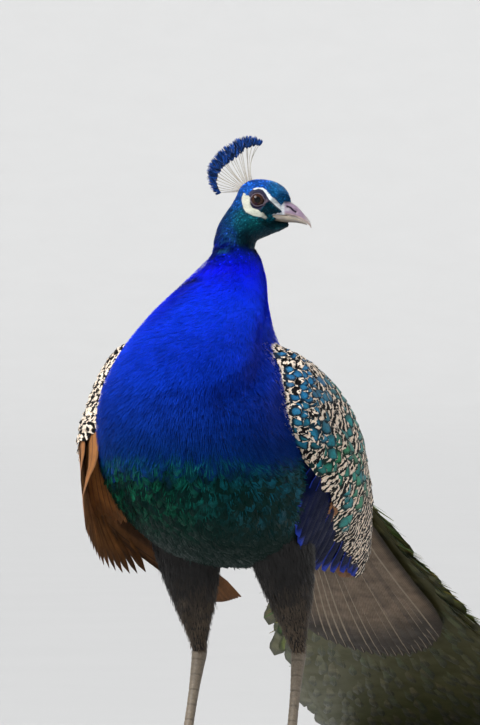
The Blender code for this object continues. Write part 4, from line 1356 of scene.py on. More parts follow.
@dataclass
class Skin:
    """The one skin of rump, trunk, breast, neck, head and thighs, with lids and folds about the eyes.

    Attributes:
        outline: the surface that the coat fills.
        around: points round each ring.
        lid, fold: middle radius and thickness of the lid's rim and of the fold outside it.
    """

    outline: Surface
    around: int = 168
    lid: tuple = (0.0069, 0.00066)
    fold: tuple = (0.0088, 0.00050)
    FLESH = ("rump", "trunk", "breast", "neck_lower", "neck_middle", "neck_upper", "head", "left_thigh",
             "right_thigh")

    def rings(self) -> tuple:
        """Points of the skin: the outline drawn in by the coat's depth, then shaped round the eyes.

        Bare skin lies almost at the outline. Near an eye the skin dips to the lid's rim, under a brow.
        """
        stations = np.concatenate([np.linspace(0, 13.4, 150), np.linspace(13.4, LAST_STATION, 215)[1:]])
        a, b = mesh_of(stations / LAST_STATION, np.arange(self.around) / self.around)
        points, normals = self.outline.at(a, b), self.outline.out(a, b)
        forward, up, side = head_plane(points)
        on_face = ease(a * LAST_STATION, 16.0, 16.8) * ease(np.abs(side), 0.005, 0.009)
        bare = np.minimum.reduce(Markings.bare(forward, up))
        away = np.hypot(forward - EYE_AT[0], up - EYE_AT[1])
        depth = curve(COAT_DEPTH, a * LAST_STATION)
        flesh = ease(-bare, -0.0004, 0.0010) * on_face
        points = points - normals * (depth * (1 - flesh) + 0.00025 * flesh)[..., None]
        brow = hump(forward, up, (0.046, 0.6700), (0.011, 0.0026)) * 0.0009
        bag = hump(forward, up, (0.038, 0.6462), (0.012, 0.0030)) * 0.0006
        points = points + (HEAD_LEFT * (np.sign(side) * on_face * (brow + bag))[..., None])
        forward, up, side = head_plane(points)
        rim = ease(away, 0.0108, 0.0080) * on_face
        sunk = np.minimum(np.abs(side), 0.0170 - 0.004 * ease(away, 0.0068, 0.0050))
        points = head_point(forward, up, np.sign(side) * (np.abs(side) * (1 - rim) + sunk * rim))
        return fit_bill(points, 0.0012), a, b

    def lids(self, side: float) -> list:
        """Rims round one eye: rings of round section, drawn out towards the bill, wavy like thin skin."""
        made, long, round_it = [], 96, circle(12)
        turn = circle(long)
        for (radius, thick), lift, colour in ((self.lid, 0.0, Markings.MAUVE),
                                              (self.fold, -0.0012, Markings.NAVY)):
            corner = np.maximum(np.cos(turn + 0.35), 0) ** 10 * 0.0021
            corner = corner + np.maximum(-np.cos(turn + 0.1), 0) ** 12 * 0.0006
            reach = radius + corner + 0.00006 * np.sin(17 * turn)
            flat = np.sqrt(np.maximum(EYE_RADIUS ** 2 - (radius - thick * 0.7) ** 2, 0))
            height = EYE_SIDE + flat - 0.0002 + lift - corner * 0.5
            wide = thick * (1 + 0.12 * np.sin(11 * turn))[:, None]
            away = reach[:, None] + wide * np.cos(round_it)[None] * 1.1
            out = height[:, None] + wide * np.sin(round_it)[None] * 0.9
            points = head_point(EYE_AT[0] + away * np.cos(turn)[:, None],
                                EYE_AT[1] + away * np.sin(turn)[:, None], side * out)
            faces = grid_faces(long + 1, 12, True, flip=side < 0) % (long * 12)
            # Painted light on the outer side of each rim's round section and painted shade on its inner side.
            shade = np.tile(0.72 + 0.4 * np.sin(round_it), long)[:, None]
            patch = np.full((long, 12, 2), [0.86, 0.25 + 0.5 * (side < 0)])
            made.append(form_of(points, faces, colour * shade, patch=patch))
        return made

    def build(self) -> None:
        """Make the skin as one piece, in place of all the nodes of flesh."""
        points, a, b = self.rings()
        forward, up, _ = head_plane(points)
        # The coat's colours, darker by 0.7 as painted shade, for the skin that shows between the feathers.
        tone = Markings.coat(points, a, b, np.full(a.shape, 0.45)) * 0.7
        tone = mix(tone, Markings.face(forward, up, tone), ease(a * LAST_STATION, 16.0, 16.6))
        body = loft_form(points, tone)
        patch = np.stack([a, b], -1).reshape(-1, 2)
        body.patch = 0.01 + 0.98 * np.concatenate([patch, patch[:1], patch[-1:]])
        forms = [body]
        for _, side in SIDES:
            forms += self.lids(side)
            forms.append(loft_form(thigh_surface(side, -0.004).points[:, :-1], tint(26, 22, 20)))
        bare = Hide("bare_skin", roughness=0.62, pebble=1100.0, relief=0.35, level=0.3).make()
        add_piece("skin", Form.join(forms), bare, self.FLESH)


HACKLE = Blade(strips=3, columns=2, camber=0.10, spread=1.15, barb=0.27, ragged=0.40, rise=0.65)
SCALE = Blade(rows=3, outline=((0, 0.45), (0.4, 1.0), (0.75, 0.95), (1, 0.30)), camber=0.35)
TUFT = Blade(strips=5, columns=2, camber=0.30, spread=1.20, barb=0.22, ragged=0.45, rise=0.75)
ROUND = Blade(rows=7, columns=5, camber=0.30,
              outline=((0, 0.35), (0.3, 0.85), (0.6, 1.0), (0.82, 0.86), (0.94, 0.52), (1, 0.15)))
COVERT = Blade(rows=9, columns=7, camber=0.26, rise=0.85,
               outline=((0, 0.40), (0.3, 0.85), (0.62, 1.0), (0.85, 0.84), (0.95, 0.50), (1, 0.10)))
QUILL = Blade(rows=14, columns=7, camber=0.20, rise=0.9,
              outline=((0, 0.45), (0.2, 0.85), (0.6, 1.0), (0.88, 0.85), (0.97, 0.45), (1, 0.06)))


@dataclass
class BodyCoat:
    """All feathers of head, neck, breast, belly, back and thighs.

    Attributes:
        outline: the surface they fill.
        rng: the random source.
    """

    outline: Surface
    rng: np.random.Generator

    def tufts(self, blade: Blade, stations: tuple, gap: tuple, length: tuple, width: float, stand: float,
              span: tuple = (0.0, 1.0), where: object = None, turn: float = 0.10, shade: tuple = (0.62, 1.08),
              glint: float = 0.0, tilt: float = 0.12) -> Form:
        """Cover a length of the body with tufts that point back along it.

        Args:
            blade: the kind of feather.
            stations: first and last station.
            gap: distance between rows, and between neighbours in a row.
            length: feather lengths at the first and the last station.
            width: a feather's width as a share of its length.
            stand: how far tips stand over the outline.
            span: the part of the way round that is covered.
            where: a test of (points, a, b) for the roots to keep.
            turn: how far headings stray.
            shade: brightness from root to tip: painted shade at the roots, under the feathers in front, and
                painted light at the tips.
            glint: share of feathers given a painted glint; the others are made darker.
            tilt: how far the feathers roll.

        Returns:
            The feathers as one form.
        """
        rows = self.outline.rows_apart(stations[0] / LAST_STATION, stations[1] / LAST_STATION, gap[0],
                                       np.linspace(*span, 33))
        a, b = self.outline.lattice(rows, gap[1], self.rng, span)
        points, chance = self.outline.at(a, b), self.rng.random(len(a))
        if where is not None:
            keep = where(points, a, b)
            a, b, points, chance = a[keep], b[keep], points[keep], chance[keep]
        heading = -self.outline.along(a, b)
        wander = turn * (self.rng.normal(0, 0.7, len(a))
                         + 0.9 * np.sin(38 * points[:, 2] + 31 * points[:, 0]))
        heading = heading + np.cross(heading, self.outline.out(a, b)) * wander[:, None]
        share = (a * LAST_STATION - stations[0]) / (stations[1] - stations[0])
        size = (length[0] + (length[1] - length[0]) * share) * self.rng.uniform(0.85, 1.15, len(a))
        tone = Markings.coat(points, a, b, chance)
        if glint:
            # Painted glints: a share of the feathers much brighter, the others darker.
            bright = (self.rng.random(len(a)) < glint)[:, None]
            tone = tone * np.where(bright, [2.2, 2.2, 2.0], 0.62)
        depth = curve(COAT_DEPTH, a * LAST_STATION)
        return blade.grow(self.outline, a, b, heading, size, size * width, depth * 0.9, stand, tone, self.rng,
                          tilt=tilt, shade=shade)

    @staticmethod
    def feathered(points: Array, a: Array, b: Array) -> Array:
        """True where the head carries feathers and not bare skin, bill or eye."""
        forward, up, side = head_plane(points)
        bare = np.minimum.reduce(Markings.bare(forward, up))
        back = np.minimum.reduce(Markings.bare(forward - 0.0011, up - 0.0002))
        away = np.hypot(forward - EYE_AT[0], up - EYE_AT[1])
        bill = outline_distance(forward, up, BILL_ROOT) < 0.0003
        on_side = (np.abs(side) > 0.007) | (forward > 0.060)
        return (((bare > 0.0002) & (back > -0.0002) & (away > 0.0098)) | ~on_side) & ~bill

    @staticmethod
    def blue_here(points: Array, a: Array, b: Array) -> Array:
        """True where the coat is blue."""
        return Markings.above_edge(a, b) > -0.25

    @staticmethod
    def green_here(points: Array, a: Array, b: Array) -> Array:
        """True on the belly and flanks, below the blue and under the wings' edge."""
        return (Markings.above_edge(a, b) < 0.1) & (Markings.back_angle(b) > 74)

    @staticmethod
    def mantle_here(points: Array, a: Array, b: Array) -> Array:
        """True on the upper back, between the wings."""
        return (Markings.above_edge(a, b) < 0.25) & (Markings.back_angle(b) < 84)

    def build(self) -> None:
        """Make the coat's pieces, from the head to the thighs."""
        blue = Plumage("blue_hackles", gloss=(0.02, 0.16, 1.0, 1.0), sheen=(0.02, 0.16, 1.0, 1.0),
                       sheen_weight=0.14, roughness=0.52, level=0.22, barbs=6.0, depth=0.15,
                       vary=(0.82, 1.18), cloud=55.0, metal=0.25).make()
        scaly = Plumage("head_scales", gloss=(0.05, 0.6, 1.0, 1.0), sheen=(0.02, 0.3, 0.8, 1.0),
                        sheen_weight=0.05, roughness=0.42, barbs=3.0, depth=0.10, vary=(0.6, 1.4),
                        cloud=180.0).make()
        green = Plumage("belly_feathers", gloss=(0.05, 0.8, 0.6, 1.0), sheen=(0.02, 0.5, 0.4, 1.0), edge=0.45,
                        sheen_weight=0.04, level=0.22, barbs=12.0, vary=(0.45, 1.6), cloud=45.0).make()
        gold = Plumage("mantle_scales", gloss=(1.0, 0.95, 0.5, 1.0), roughness=0.42, level=0.6, edge=0.80,
                       vary=(0.8, 1.3)).make()
        head = self.tufts(SCALE, (15.0, 25.9), (0.00125, 0.00120), (0.0036, 0.0022), 0.62, 0.0003,
                          where=self.feathered, turn=0.12, shade=(0.45, 1.15), glint=0.16, tilt=0.2)
        add_piece("head_coat", head, scaly)
        nape = self.tufts(SCALE, (12.9, 15.1), (0.0021, 0.0017), (0.0070, 0.0042), 0.42, 0.0005,
                          turn=0.12, shade=(0.45, 1.12), glint=0.08, tilt=0.2)
        add_piece("nape_coat", nape, scaly)
        neck = self.tufts(HACKLE, (9.6, 13.3), (0.0030, 0.0023), (0.0150, 0.0085), 0.24, 0.0012,
                          where=self.blue_here, shade=(0.90, 1.28), tilt=0.09)
        add_piece("neck_coat", neck, blue)
        for name, part in (("left", (0.0, 0.5)), ("right", (0.5, 1.0))):
            breast = self.tufts(HACKLE, (5.5, 9.8), (0.0042, 0.0027), (0.0185, 0.0160), 0.22, 0.0012, part,
                                where=self.blue_here, shade=(0.72, 1.12), tilt=0.10)
            add_piece(f"breast_coat_{name}", breast, blue)
        belly = self.tufts(ROUND, (0.4, 8.3), (0.0095, 0.0080), (0.026, 0.023), 0.62, 0.0016, (0.18, 0.82),
                           where=self.green_here, turn=0.25, tilt=0.22)
        fluff = self.tufts(TUFT, (0.4, 8.2), (0.0100, 0.0085), (0.024, 0.020), 0.60, 0.0026, (0.18, 0.82),
                           where=self.green_here, turn=0.3, tilt=0.25)
        add_piece("belly_coat", Form.join([belly, fluff]), green)
        back = self.tufts(ROUND, (0.8, 9.3), (0.0064, 0.0086), (0.026, 0.017), 0.70, 0.0014, (-0.25, 0.25),
                          where=self.mantle_here, turn=0.08)
        add_piece("mantle_coat", back, gold)
        self.thighs()

    def thighs(self) -> None:
        """Cover the thighs with loose dark feathers, buff towards the heel."""
        dark = Plumage("thigh_feathers", roughness=0.62, barbs=10.0, vary=(0.7, 1.3), edge=0.3).make()
        forms = []
        for _, side in SIDES:
            form = thigh_surface(side, 0.0)
            a, b = form.lattice(form.rows_apart(0.10, 0.96, 0.0062, np.linspace(0, 1, 12)), 0.0060, self.rng)
            b = b % 1
            size = (0.026 - 0.014 * a) * self.rng.uniform(0.85, 1.15, len(a))
            buff = ease(a + 0.2 * self.rng.random(len(a)), 0.45, 1.05)
            tone = mix(tint(20, 17, 17), tint(96, 80, 62), buff)
            forms.append(TUFT.grow(form, a, b, form.along(a, b), size, size * 0.5, 0.0045, 0.0006, tone,
                                   self.rng, tilt=0.2))
        add_piece("thigh_coat", Form.join(forms), dark)


# ---- Eyes, bill and crest -------------------------------------------------------------------------
@dataclass
class Eyes:
    """Two wet eyeballs, a little more curved over the pupil."""

    rows: int = 44
    around: int = 72

    def build(self) -> None:
        """Make each eye: radius + bulge * exp(-(angle / breadth)^2) about its outward axis."""
        finish = EyeGlass().make()
        polar = np.linspace(0.004, math.pi - 0.004, self.rows)[:, None]
        turn = circle(self.around)[None]
        radius = EYE_RADIUS + 0.0004 * np.exp(-(polar / 0.45) ** 2)
        away = np.where(polar < math.pi / 2, np.sin(polar), 1.0)
        mark = np.stack(np.broadcast_arrays(away, np.abs(1 - turn / math.pi), 0.0, 0.0), -1)
        for name, side in SIDES:
            rings = head_point(EYE_AT[0] + radius * np.sin(polar) * np.cos(turn),
                               EYE_AT[1] + radius * np.sin(polar) * np.sin(turn),
                               side * (EYE_SIDE + radius * np.cos(polar)))
            add_piece(f"{name}_eye_ball", loft_form(rings, tint(60, 40, 30), mark), finish,
                      (f"{name}_eye",))


@dataclass
class Bill:
    """Upper and lower bill: half ellipses between mouth line and ridge, with a slit nostril under a flap."""

    NOSTRIL = ((0.0738, 0.6522), (0.0778, 0.6506), (0.0808, 0.6474), (0.0832, 0.6461))
    FLAP = ((0.0725, 0.6550), (0.0785, 0.6532), (0.0825, 0.6496))
    LIP = 0.0005

    def half(self, edge: tuple, start: float, end: float, count: int, lift: float) -> tuple:
        """Rings of one half: mouth + (edge - mouth) * cos, half width * sin, with the nostril pressed in.

        Args:
            edge: the ridge or the keel.
            start, end: where the half begins and ends, forward.
            count: number of rings, closer together towards the end.
            lift: how far the half lies below the mouth line.

        Returns:
            The rings, their places forward and up, the slit's strength, and the angles round them.
        """
        ahead = start + (end - start) * (1 - (1 - np.linspace(0, 1, count)) ** 1.25)
        low, high = curve(MOUTH, ahead) - lift * ease(ahead, 0.060, 0.066), curve(edge, ahead)
        angle = np.linspace(-math.pi / 2, math.pi / 2, 49)[None]
        up = low[:, None] + (high - low)[:, None] * np.cos(angle) ** 0.92
        side = curve(BILL_WIDTH, ahead)[:, None] * np.sign(angle) * np.abs(np.sin(angle)) ** 0.85
        forward = ahead[:, None] + 0 * angle
        flank = ease(np.abs(side), 0.0010, 0.0028)
        slit = near_line(forward, up, self.NOSTRIL, 0.00105) * flank
        if edge is CULMEN:
            flap = near_line(forward, up, self.FLAP, 0.0015) * flank
            side = side + np.sign(side) * (0.0006 * flap - 0.0020 * slit)
            up = up + 0.0003 * slit
        return head_point(forward, up, side), forward, up, slit, angle

    def build(self) -> None:
        """Make both halves in horn: lilac flanks, pale hook, cream cutting edges, a ridge with a painted
        highlight, painted shade in the slit.
        """
        horn = Hide("bill_horn", roughness=0.36, level=0.4, pebble=420.0, relief=0.22,
                    stretch=(0.35, 0.35, 1.6), vary=(0.88, 1.08), cloud=120.0, soft=0.10).make()
        rings, forward, up, slit, angle = self.half(CULMEN, 0.0570, 0.1004, 72, 0.0)
        over = up - curve(MOUTH, forward)
        line = np.exp(-((over - 0.0013) / 0.00035) ** 2) * ease(forward, 0.090, 0.080)
        ridge = ease(np.cos(angle), 0.90, 1.0) * ease(forward, 0.071, 0.077)
        oval = hump(forward, up, (0.0745, 0.6492), (0.0030, 0.0020))
        # The ridge gets a painted highlight; the thin groove (dark line) and the nostril's slit get painted
        # shade.
        tone = tint(160, 138, 160)
        for colour, share in ((tint(214, 208, 200), ease(forward, 0.090, 0.1000)),      # hook
                              (tint(186, 164, 158), ease(over, 0.0034, 0.0016)),        # belt over the mouth
                              (tint(92, 70, 76), 0.7 * line),                           # dark line
                              (tint(196, 182, 160), ease(over, 0.0009, 0.0003)),        # cutting edge
                              (tint(206, 204, 190), 0.8 * ridge),                       # ridge
                              (tint(196, 196, 196), 0.7 * oval),                        # cere
                              (tint(224, 228, 230), ease(forward, 0.0725, 0.0690)),     # root
                              (tint(34, 14, 40), ease(slit, 0.25, 0.65))):              # nostril
            tone = mix(tone, colour, share)
        add_piece("upper_bill_horn", loft_form(rings, tone), horn, ("upper_bill",))
        rings, forward, up, _, _ = self.half(KEEL, 0.0580, 0.0957, 56, self.LIP)
        under = curve(MOUTH, forward) - up
        # Painted shade on the lower bill's edge, where it meets the upper one.
        tone = mix(tint(190, 178, 158), tint(120, 96, 84), ease(under, 0.0012, 0.0004))
        tone = tone * (1 - 0.35 * ease(under, 0.0030, 0.0055))[..., None]
        add_piece("lower_bill_horn", loft_form(rings, tone), horn, ("lower_bill",))


@dataclass
class Crest:
    """A fan of bare pale shafts whose webbed tips overlap in a curved band.

    Attributes:
        rng: the random source.
        feathers: how many there are.
        barbs: loose barbs on each tip.
    """

    rng: np.random.Generator
    feathers: int = 24
    barbs: int = 46
    FOCUS = (0.038, 0.660)
    BASE = 0.0205
    INNER = ((80, 0.0600), (86, 0.0605), (92, 0.0590), (99, 0.0570), (108, 0.0530), (119, 0.0500),
             (130, 0.0500), (142, 0.0492), (152, 0.0478), (162, 0.0430), (170, 0.0385))
    OUTER = ((80, 0.0640), (86, 0.0655), (92, 0.0690), (99, 0.0695), (115, 0.0668), (130, 0.0648),
             (143, 0.0622), (152, 0.0572), (162, 0.0490), (170, 0.0415))

    def place(self, radius: Array, degrees: Array, side: Array) -> Array:
        """A point of the fan in polar form about its focus."""
        turn = np.radians(degrees)
        return head_point(self.FOCUS[0] + radius * np.cos(turn), self.FOCUS[1] + radius * np.sin(turn), side)

    def build(self) -> None:
        """Make shafts and tips as one piece each."""
        angle = np.linspace(84.0, 168.0, self.feathers) + self.rng.uniform(-0.9, 0.9, self.feathers)
        lean = self.rng.uniform(-0.0022, 0.0022, self.feathers)
        horn = Hide("crest_shafts", roughness=0.45, pebble=700.0, relief=0.1).make()
        add_piece("crest_shafts", self.shafts(angle, lean), horn)
        web = Plumage("crest_webs", gloss=(0.5, 0.8, 1.0, 1.0), sheen=(0.2, 0.5, 1.0, 1.0), roughness=0.42,
                      barbs=3.0, depth=0.1, vary=(0.7, 1.35), cloud=180.0).make()
        add_piece("crest_tips", self.tips(angle, lean), web, ("crest",))

    def shafts(self, angle: Array, lean: Array) -> Form:
        """Thin tapering tubes from the crown to each tip, bowed by 4t(1 - t).

        Args:
            angle: degrees of each shaft in the fan.
            lean: how far each one stands out of the head's plane.

        Returns:
            One form with all shafts.
        """
        points, around = 9, 5
        t = np.linspace(0, 1, points)[None, :, None]
        foot = self.place(self.BASE, 97 + (angle[:, None] - 84) * 0.68, 0.4 * lean[:, None])
        head = self.place(curve(self.OUTER, angle)[:, None] - 0.0040, angle[:, None], lean[:, None])
        bow = self.place(1.0, angle[:, None] + 90, 0.0) - self.place(0.0, 0.0, 0.0)
        sway = self.rng.normal(0.0008, 0.0007, (self.feathers, 1, 1))
        sway = sway + 0.0050 * ease(angle, 100, 84)[:, None, None]
        sway = sway * 4 * t * (1 - t)
        spine = foot * (1 - t) + head * t + bow * sway
        across = np.cross(unit(np.gradient(spine, axis=1)), HEAD_LEFT)
        turn, thick = circle(around)[:, None], (0.00050 - 0.00022 * t)[..., None]
        tube = spine[:, :, None] + thick * (across[:, :, None] * np.cos(turn) + HEAD_LEFT * np.sin(turn))
        faces = repeated_faces(grid_faces(points, around, True, True), self.feathers, points * around)
        tone = np.broadcast_to((tint(206, 198, 184) * (1 - 0.55 * t ** 2))[:, :, None], tube.shape)
        place = np.stack(np.broadcast_arrays(t, angle[:, None, None] / 180), -1)
        return form_of(tube, faces, tone, patch=np.broadcast_to(0.05 + 0.9 * place, (*tube.shape[:3], 2)))

    def tips(self, angle: Array, lean: Array) -> Form:
        """Fans of flat barbs round each shaft's end: each barb leaves the shaft and bends outwards.

        Args:
            angle: degrees of each shaft in the fan.
            lean: how far each one stands out of the head's plane.

        Returns:
            One form with all barbs.
        """
        count, rows = (self.feathers, self.barbs), 4
        share = np.linspace(0, 1, self.barbs)[None]
        inner, outer = curve(self.INNER, angle)[:, None], curve(self.OUTER, angle)[:, None]
        start = inner - 0.0010 + (outer - inner - 0.0030) * share + self.rng.uniform(-0.0006, 0.0006, count)
        way = np.where(np.arange(self.barbs) % 2 == 0, 1.0, -1.0)[None]
        fan = way * (50 - 36 * share) + self.rng.normal(0, 10, count)
        length = np.minimum(outer + 0.0010 - start, 0.0085) * self.rng.uniform(0.70, 1.15, count)
        length = np.maximum(length, 0.0034)
        u = np.linspace(0, 1, rows)[None, None]
        bend = np.radians(fan)[..., None] * (1 - 0.35 * u)
        ahead = start[..., None] + length[..., None] * u * np.cos(bend)
        aside = length[..., None] * u * np.sin(bend)
        turned = angle[:, None, None] + np.degrees(aside / ahead)
        depth = lean[:, None, None] + self.rng.normal(0, 0.0011, count)[..., None] * (0.4 + u)
        middle = self.place(ahead, turned, depth)
        run = unit(np.gradient(middle, axis=2))
        flat = unit(np.cross(run, HEAD_LEFT) + HEAD_LEFT * self.rng.normal(0, 0.5, (*count, 1, 1)))
        half = 0.00054 * np.minimum(1.0, (1.25 - u))[..., None]
        points = np.stack([middle - flat * half, middle + flat * half], axis=3)
        faces = repeated_faces(grid_faces(rows, 2), self.feathers * self.barbs, rows * 2)
        chance = self.rng.random((*count, 1, 1, 1))
        bright, deep = tint(34, 92, 196), tint(3, 12, 46)
        tone = (deep + (bright - deep) * chance ** 1.8) * (0.6 + 0.6 * u[..., None, None])
        place = np.stack(np.broadcast_arrays(angle[:, None, None] / 180, ahead / 0.08), -1)
        patch = np.repeat(place[:, :, :, None], 2, axis=3) * 0.98 + [[0, 0], [GRAIN, 0]]
        vane = np.stack(mesh_of(u[0, 0], np.array([0.0, 1.0])), -1)
        return form_of(points, faces, np.broadcast_to(tone, points.shape), patch=patch,
                       vane=np.broadcast_to(vane, (*count, rows, 2, 2)))


# ---- Wings ----------------------------------------------------------------------------------------
@dataclass
class Wing:
    """One folded wing: a bed against the body, barred coverts, dark secondaries and chestnut primaries.

    Tables run over distance along the trunk's axis (m) or, for the border, over degrees from the back.

    Attributes:
        name: left or right.
        side: 1 or -1.
        body: the body's outline.
        rng: the random source.
    """

    name: str
    side: float
    body: Surface
    rng: np.random.Generator
    FRONT, REAR = -0.135, 0.39
    WIDTH = ((-0.135, 0.070), (-0.126, 0.092), (-0.112, 0.108), (-0.095, 0.119), (-0.05, 0.132),
             (0.00, 0.142), (0.06, 0.146), (0.12, 0.140), (0.18, 0.127), (0.25, 0.110), (0.31, 0.093),
             (0.39, 0.066))
    HEIGHT = ((-0.135, 0.060), (-0.112, 0.088), (-0.095, 0.096), (-0.05, 0.107), (0.00, 0.115), (0.08, 0.121),
              (0.16, 0.112), (0.24, 0.099), (0.31, 0.085), (0.39, 0.066))
    RISE = ((-0.10, -0.005), (0.00, 0.000), (0.12, 0.008), (0.24, 0.026), (0.39, 0.040))
    TOP = ((-0.10, 40), (-0.03, 30), (0.02, 25), (0.15, 27), (0.32, 44))
    LOW = ((-0.10, 114), (0.05, 120), (0.15, 121), (0.28, 116), (0.39, 103))
    TUCK = {"left": 0.14, "right": -0.07}
    PINCH = {"left": 0.0, "right": 0.07}
    PRIMARY_START = {"left": 0.050, "right": -0.015}
    COVERT_LOW = {"left": ((-0.135, 96), (-0.05, 104), (0.00, 105), (0.06, 108), (0.12, 111), (0.20, 112),
                           (0.32, 102)),
                  "right": ((-0.135, 104), (-0.08, 106), (-0.02, 101), (0.05, 93), (0.20, 84), (0.32, 76))}
    BORDER = {"left": ((30, -0.104), (59, -0.090), (80, -0.084), (92, -0.076), (99, -0.054), (104, -0.030),
                       (112, 0.010)),
              "right": ((30, -0.112), (59, -0.108), (80, -0.104), (99, -0.100), (108, -0.098), (116, -0.092))}
    # Batches of coverts: first and last share along the wing, distances between rows and between
    # neighbours, length, width, degrees past the coverts' lower edge, and how far the tips stand.
    COVERTS = (((0.002, 0.16), (0.0085, 0.0090), 0.023, 0.0160, -1.0, 0.0012),
               ((0.13, 0.40), (0.0150, 0.0140), 0.040, 0.0240, -1.0, 0.0018),
               ((0.36, 0.62), (0.0185, 0.0170), 0.050, 0.0280, 0.0, 0.0020),
               ((0.58, 0.81), (0.0190, 0.0185), 0.056, 0.0300, 0.0, 0.0022))
    # Corners of the curtain of quills: outer top, outer low, inner top, inner low.
    CURTAIN = np.array([[-0.1170, -0.096, 0.402], [-0.1325, -0.040, 0.312], [-0.0985, -0.104, 0.404],
                        [-0.0935, -0.056, 0.306]])

    def __post_init__(self) -> None:
        """Work out the wing's surface once."""
        self.form = self.surface()

    def bulge(self, a: Array, ray: Array, back: Array, over: Array) -> Array:
        """How far the body reaches from the trunk's axis along each ray, smoothed twice.

        Args:
            a: distances along the axis.
            ray: directions from it.
            back, over: the axis, and up from it.

        Returns:
            Lengths, shaped like the distances.
        """
        flesh = self.body.points[: 300: 2, ::2].reshape(-1, 3)
        flesh = flesh[flesh[:, 0] * self.side > -0.01]
        from_hub = flesh - BODY_ORIGIN
        along = from_hub @ back
        raised = from_hub @ over - curve(self.RISE, along)
        turn = np.arctan2(flesh[:, 0] * self.side, raised)
        places = np.stack([along / 0.05, turn], 1).astype(np.float32)
        wanted = np.stack([a.ravel() / 0.05,
                           np.arctan2(dot(ray, [self.side, 0, 0]), dot(ray, over)).ravel()], 1)
        bulge = nearest_value(wanted, places, np.hypot(flesh[:, 0], raised)).reshape(a.shape)
        for _ in range(2):
            edge = np.pad(bulge, 1, mode="edge")
            bulge = (edge[:-2, 1:-1] + edge[2:, 1:-1] + edge[1:-1, :-2] + edge[1:-1, 2:] + 2 * bulge) / 6
        return bulge

    def surface(self) -> Surface:
        """The folded wing: from a hub on the trunk's axis, a squarish arch of given width and height.

        Where the body bulges past the arch, the wing lies on the body.
        Before its border it sinks into the coat.
        """
        back = np.array([0.0, math.cos(BODY_PITCH), -math.sin(BODY_PITCH)])
        over = np.array([0.0, math.sin(BODY_PITCH), math.cos(BODY_PITCH)])
        a, share = mesh_of(np.linspace(self.FRONT, self.REAR, 70), np.linspace(0, 1, 46))
        degrees = curve(self.TOP, a) * (1 - share) + curve(self.LOW, a) * share
        phi = np.radians(degrees)
        hub = BODY_ORIGIN + back * a[..., None] + over * curve(self.RISE, a)[..., None]
        pinch = self.PINCH[self.name] * ease(a, 0.03, -0.06) * ease(degrees, 110, 70)
        wide = curve(self.WIDTH, a) * (1 - pinch)
        high = np.sign(np.cos(phi)) * np.abs(np.cos(phi)) ** 0.8 * curve(self.HEIGHT, a)
        ray = np.array([self.side, 0, 0]) * (np.sin(phi) ** 0.8 * wide)[..., None] + over * high[..., None]
        reach = np.linalg.norm(ray, axis=2) * (1 - self.TUCK[self.name] * np.clip((degrees - 90) / 30, 0, 1))
        bulge = self.bulge(a, ray, back, over)
        border = ramp(self.BORDER[self.name], degrees)
        risen = ease(a, border - 0.005, border + 0.029)
        full = np.maximum(reach, bulge + 0.0045)
        full = full - (full - bulge - 0.0045) * ease(share, 0.24, 0.0) * ease(a, 0.24, 0.12)
        radius = (bulge - 0.004) * (1 - risen) + full * risen
        return Surface(hub + unit(ray) * radius[..., None]).facing((30, 25), [self.side, 0, 0])

    def place_of(self, a: Array, b: Array) -> tuple:
        """Distance along the trunk's axis and degrees from the back of places given as shares."""
        place = self.FRONT + a * (self.REAR - self.FRONT)
        top = curve(self.TOP, place)
        return place, top + b * (curve(self.LOW, place) - top)

    def share_of(self, a: Array, degrees: Array) -> Array:
        """The share across the wing at which an angle from the back lies."""
        place = self.FRONT + a * (self.REAR - self.FRONT)
        top = curve(self.TOP, place)
        return (degrees - top) / (curve(self.LOW, place) - top)

    def bed(self) -> Form:
        """A closed thin shell under the feathers."""
        along, b = mesh_of(np.linspace(0, 1, 60), np.linspace(0.03, 0.84, 30))
        first = (ramp(self.BORDER[self.name], 34 + 78 * b) + 0.006 - self.FRONT) / (self.REAR - self.FRONT)
        a = first + (0.90 - first) * along
        spot, out = self.form.at(a, b), self.form.out(a, b)
        thin = 0.0045 + 0.003 * ease(along, 0.08, 0.0)
        upper, under = spot - out * thin[..., None], spot - out * (thin + 0.0022)[..., None]
        return loft_form(np.concatenate([upper, under[:, ::-1]], axis=1), tint(30, 26, 24))

    def covert_rows(self, span: tuple, gap: tuple, length: float, width: float, low: float,
                    stand: float) -> Form:
        """One batch of barred coverts, from a line of the table COVERTS.

        Args:
            span, gap: shares along the wing, and distances between rows and neighbours.
            length, width: of one covert.
            low: degrees past the coverts' lower edge.
            stand: how far the tips stand.

        Returns:
            One form with the batch.
        """
        left = self.name == "left"
        rows = self.form.rows_apart(*span, gap[0], np.linspace(0.1, 0.7, 9))
        a, b = self.form.lattice(rows, gap[1], self.rng, (0.0, 0.98), jitter=0.20)
        place, degrees = self.place_of(a, b)
        edge = self.share_of(a, curve(self.COVERT_LOW[self.name], place) + low)
        across = np.clip(b / np.maximum(edge, 0.05), 0, 1)
        inside = place - ramp(self.BORDER[self.name], degrees)
        keep = (b < edge) & (inside > (0.0 if left else -0.006))
        a, b, place, across, inside, degrees = (k[keep] for k in (a, b, place, across, inside, degrees))
        count = len(a)
        droop = 0.30 + 0.35 * ease(place, 0.06, -0.09) - 0.35 * across
        heading = unit(self.form.along(a, b)
                       + self.form.aside(a, b) * (droop + self.rng.normal(0, 0.10, count))[:, None])
        chance = self.rng.random(count)
        glossy = ease(place, 0.15, 0.07) * ease(chance, 0.28, 0.50) * ease(inside, -0.004, 0.006)
        if not left:
            glossy = glossy * ease(inside + 0.02 * chance, 0.055, 0.075)
        shoulder = ease(place + 0.0006 * degrees, 0.060, -0.045)
        teal = mix(tint(12, 120, 128), tint(26, 112, 70), self.rng.random(count))
        teal = mix(teal, tint(34, 84, 142), shoulder * 0.75)
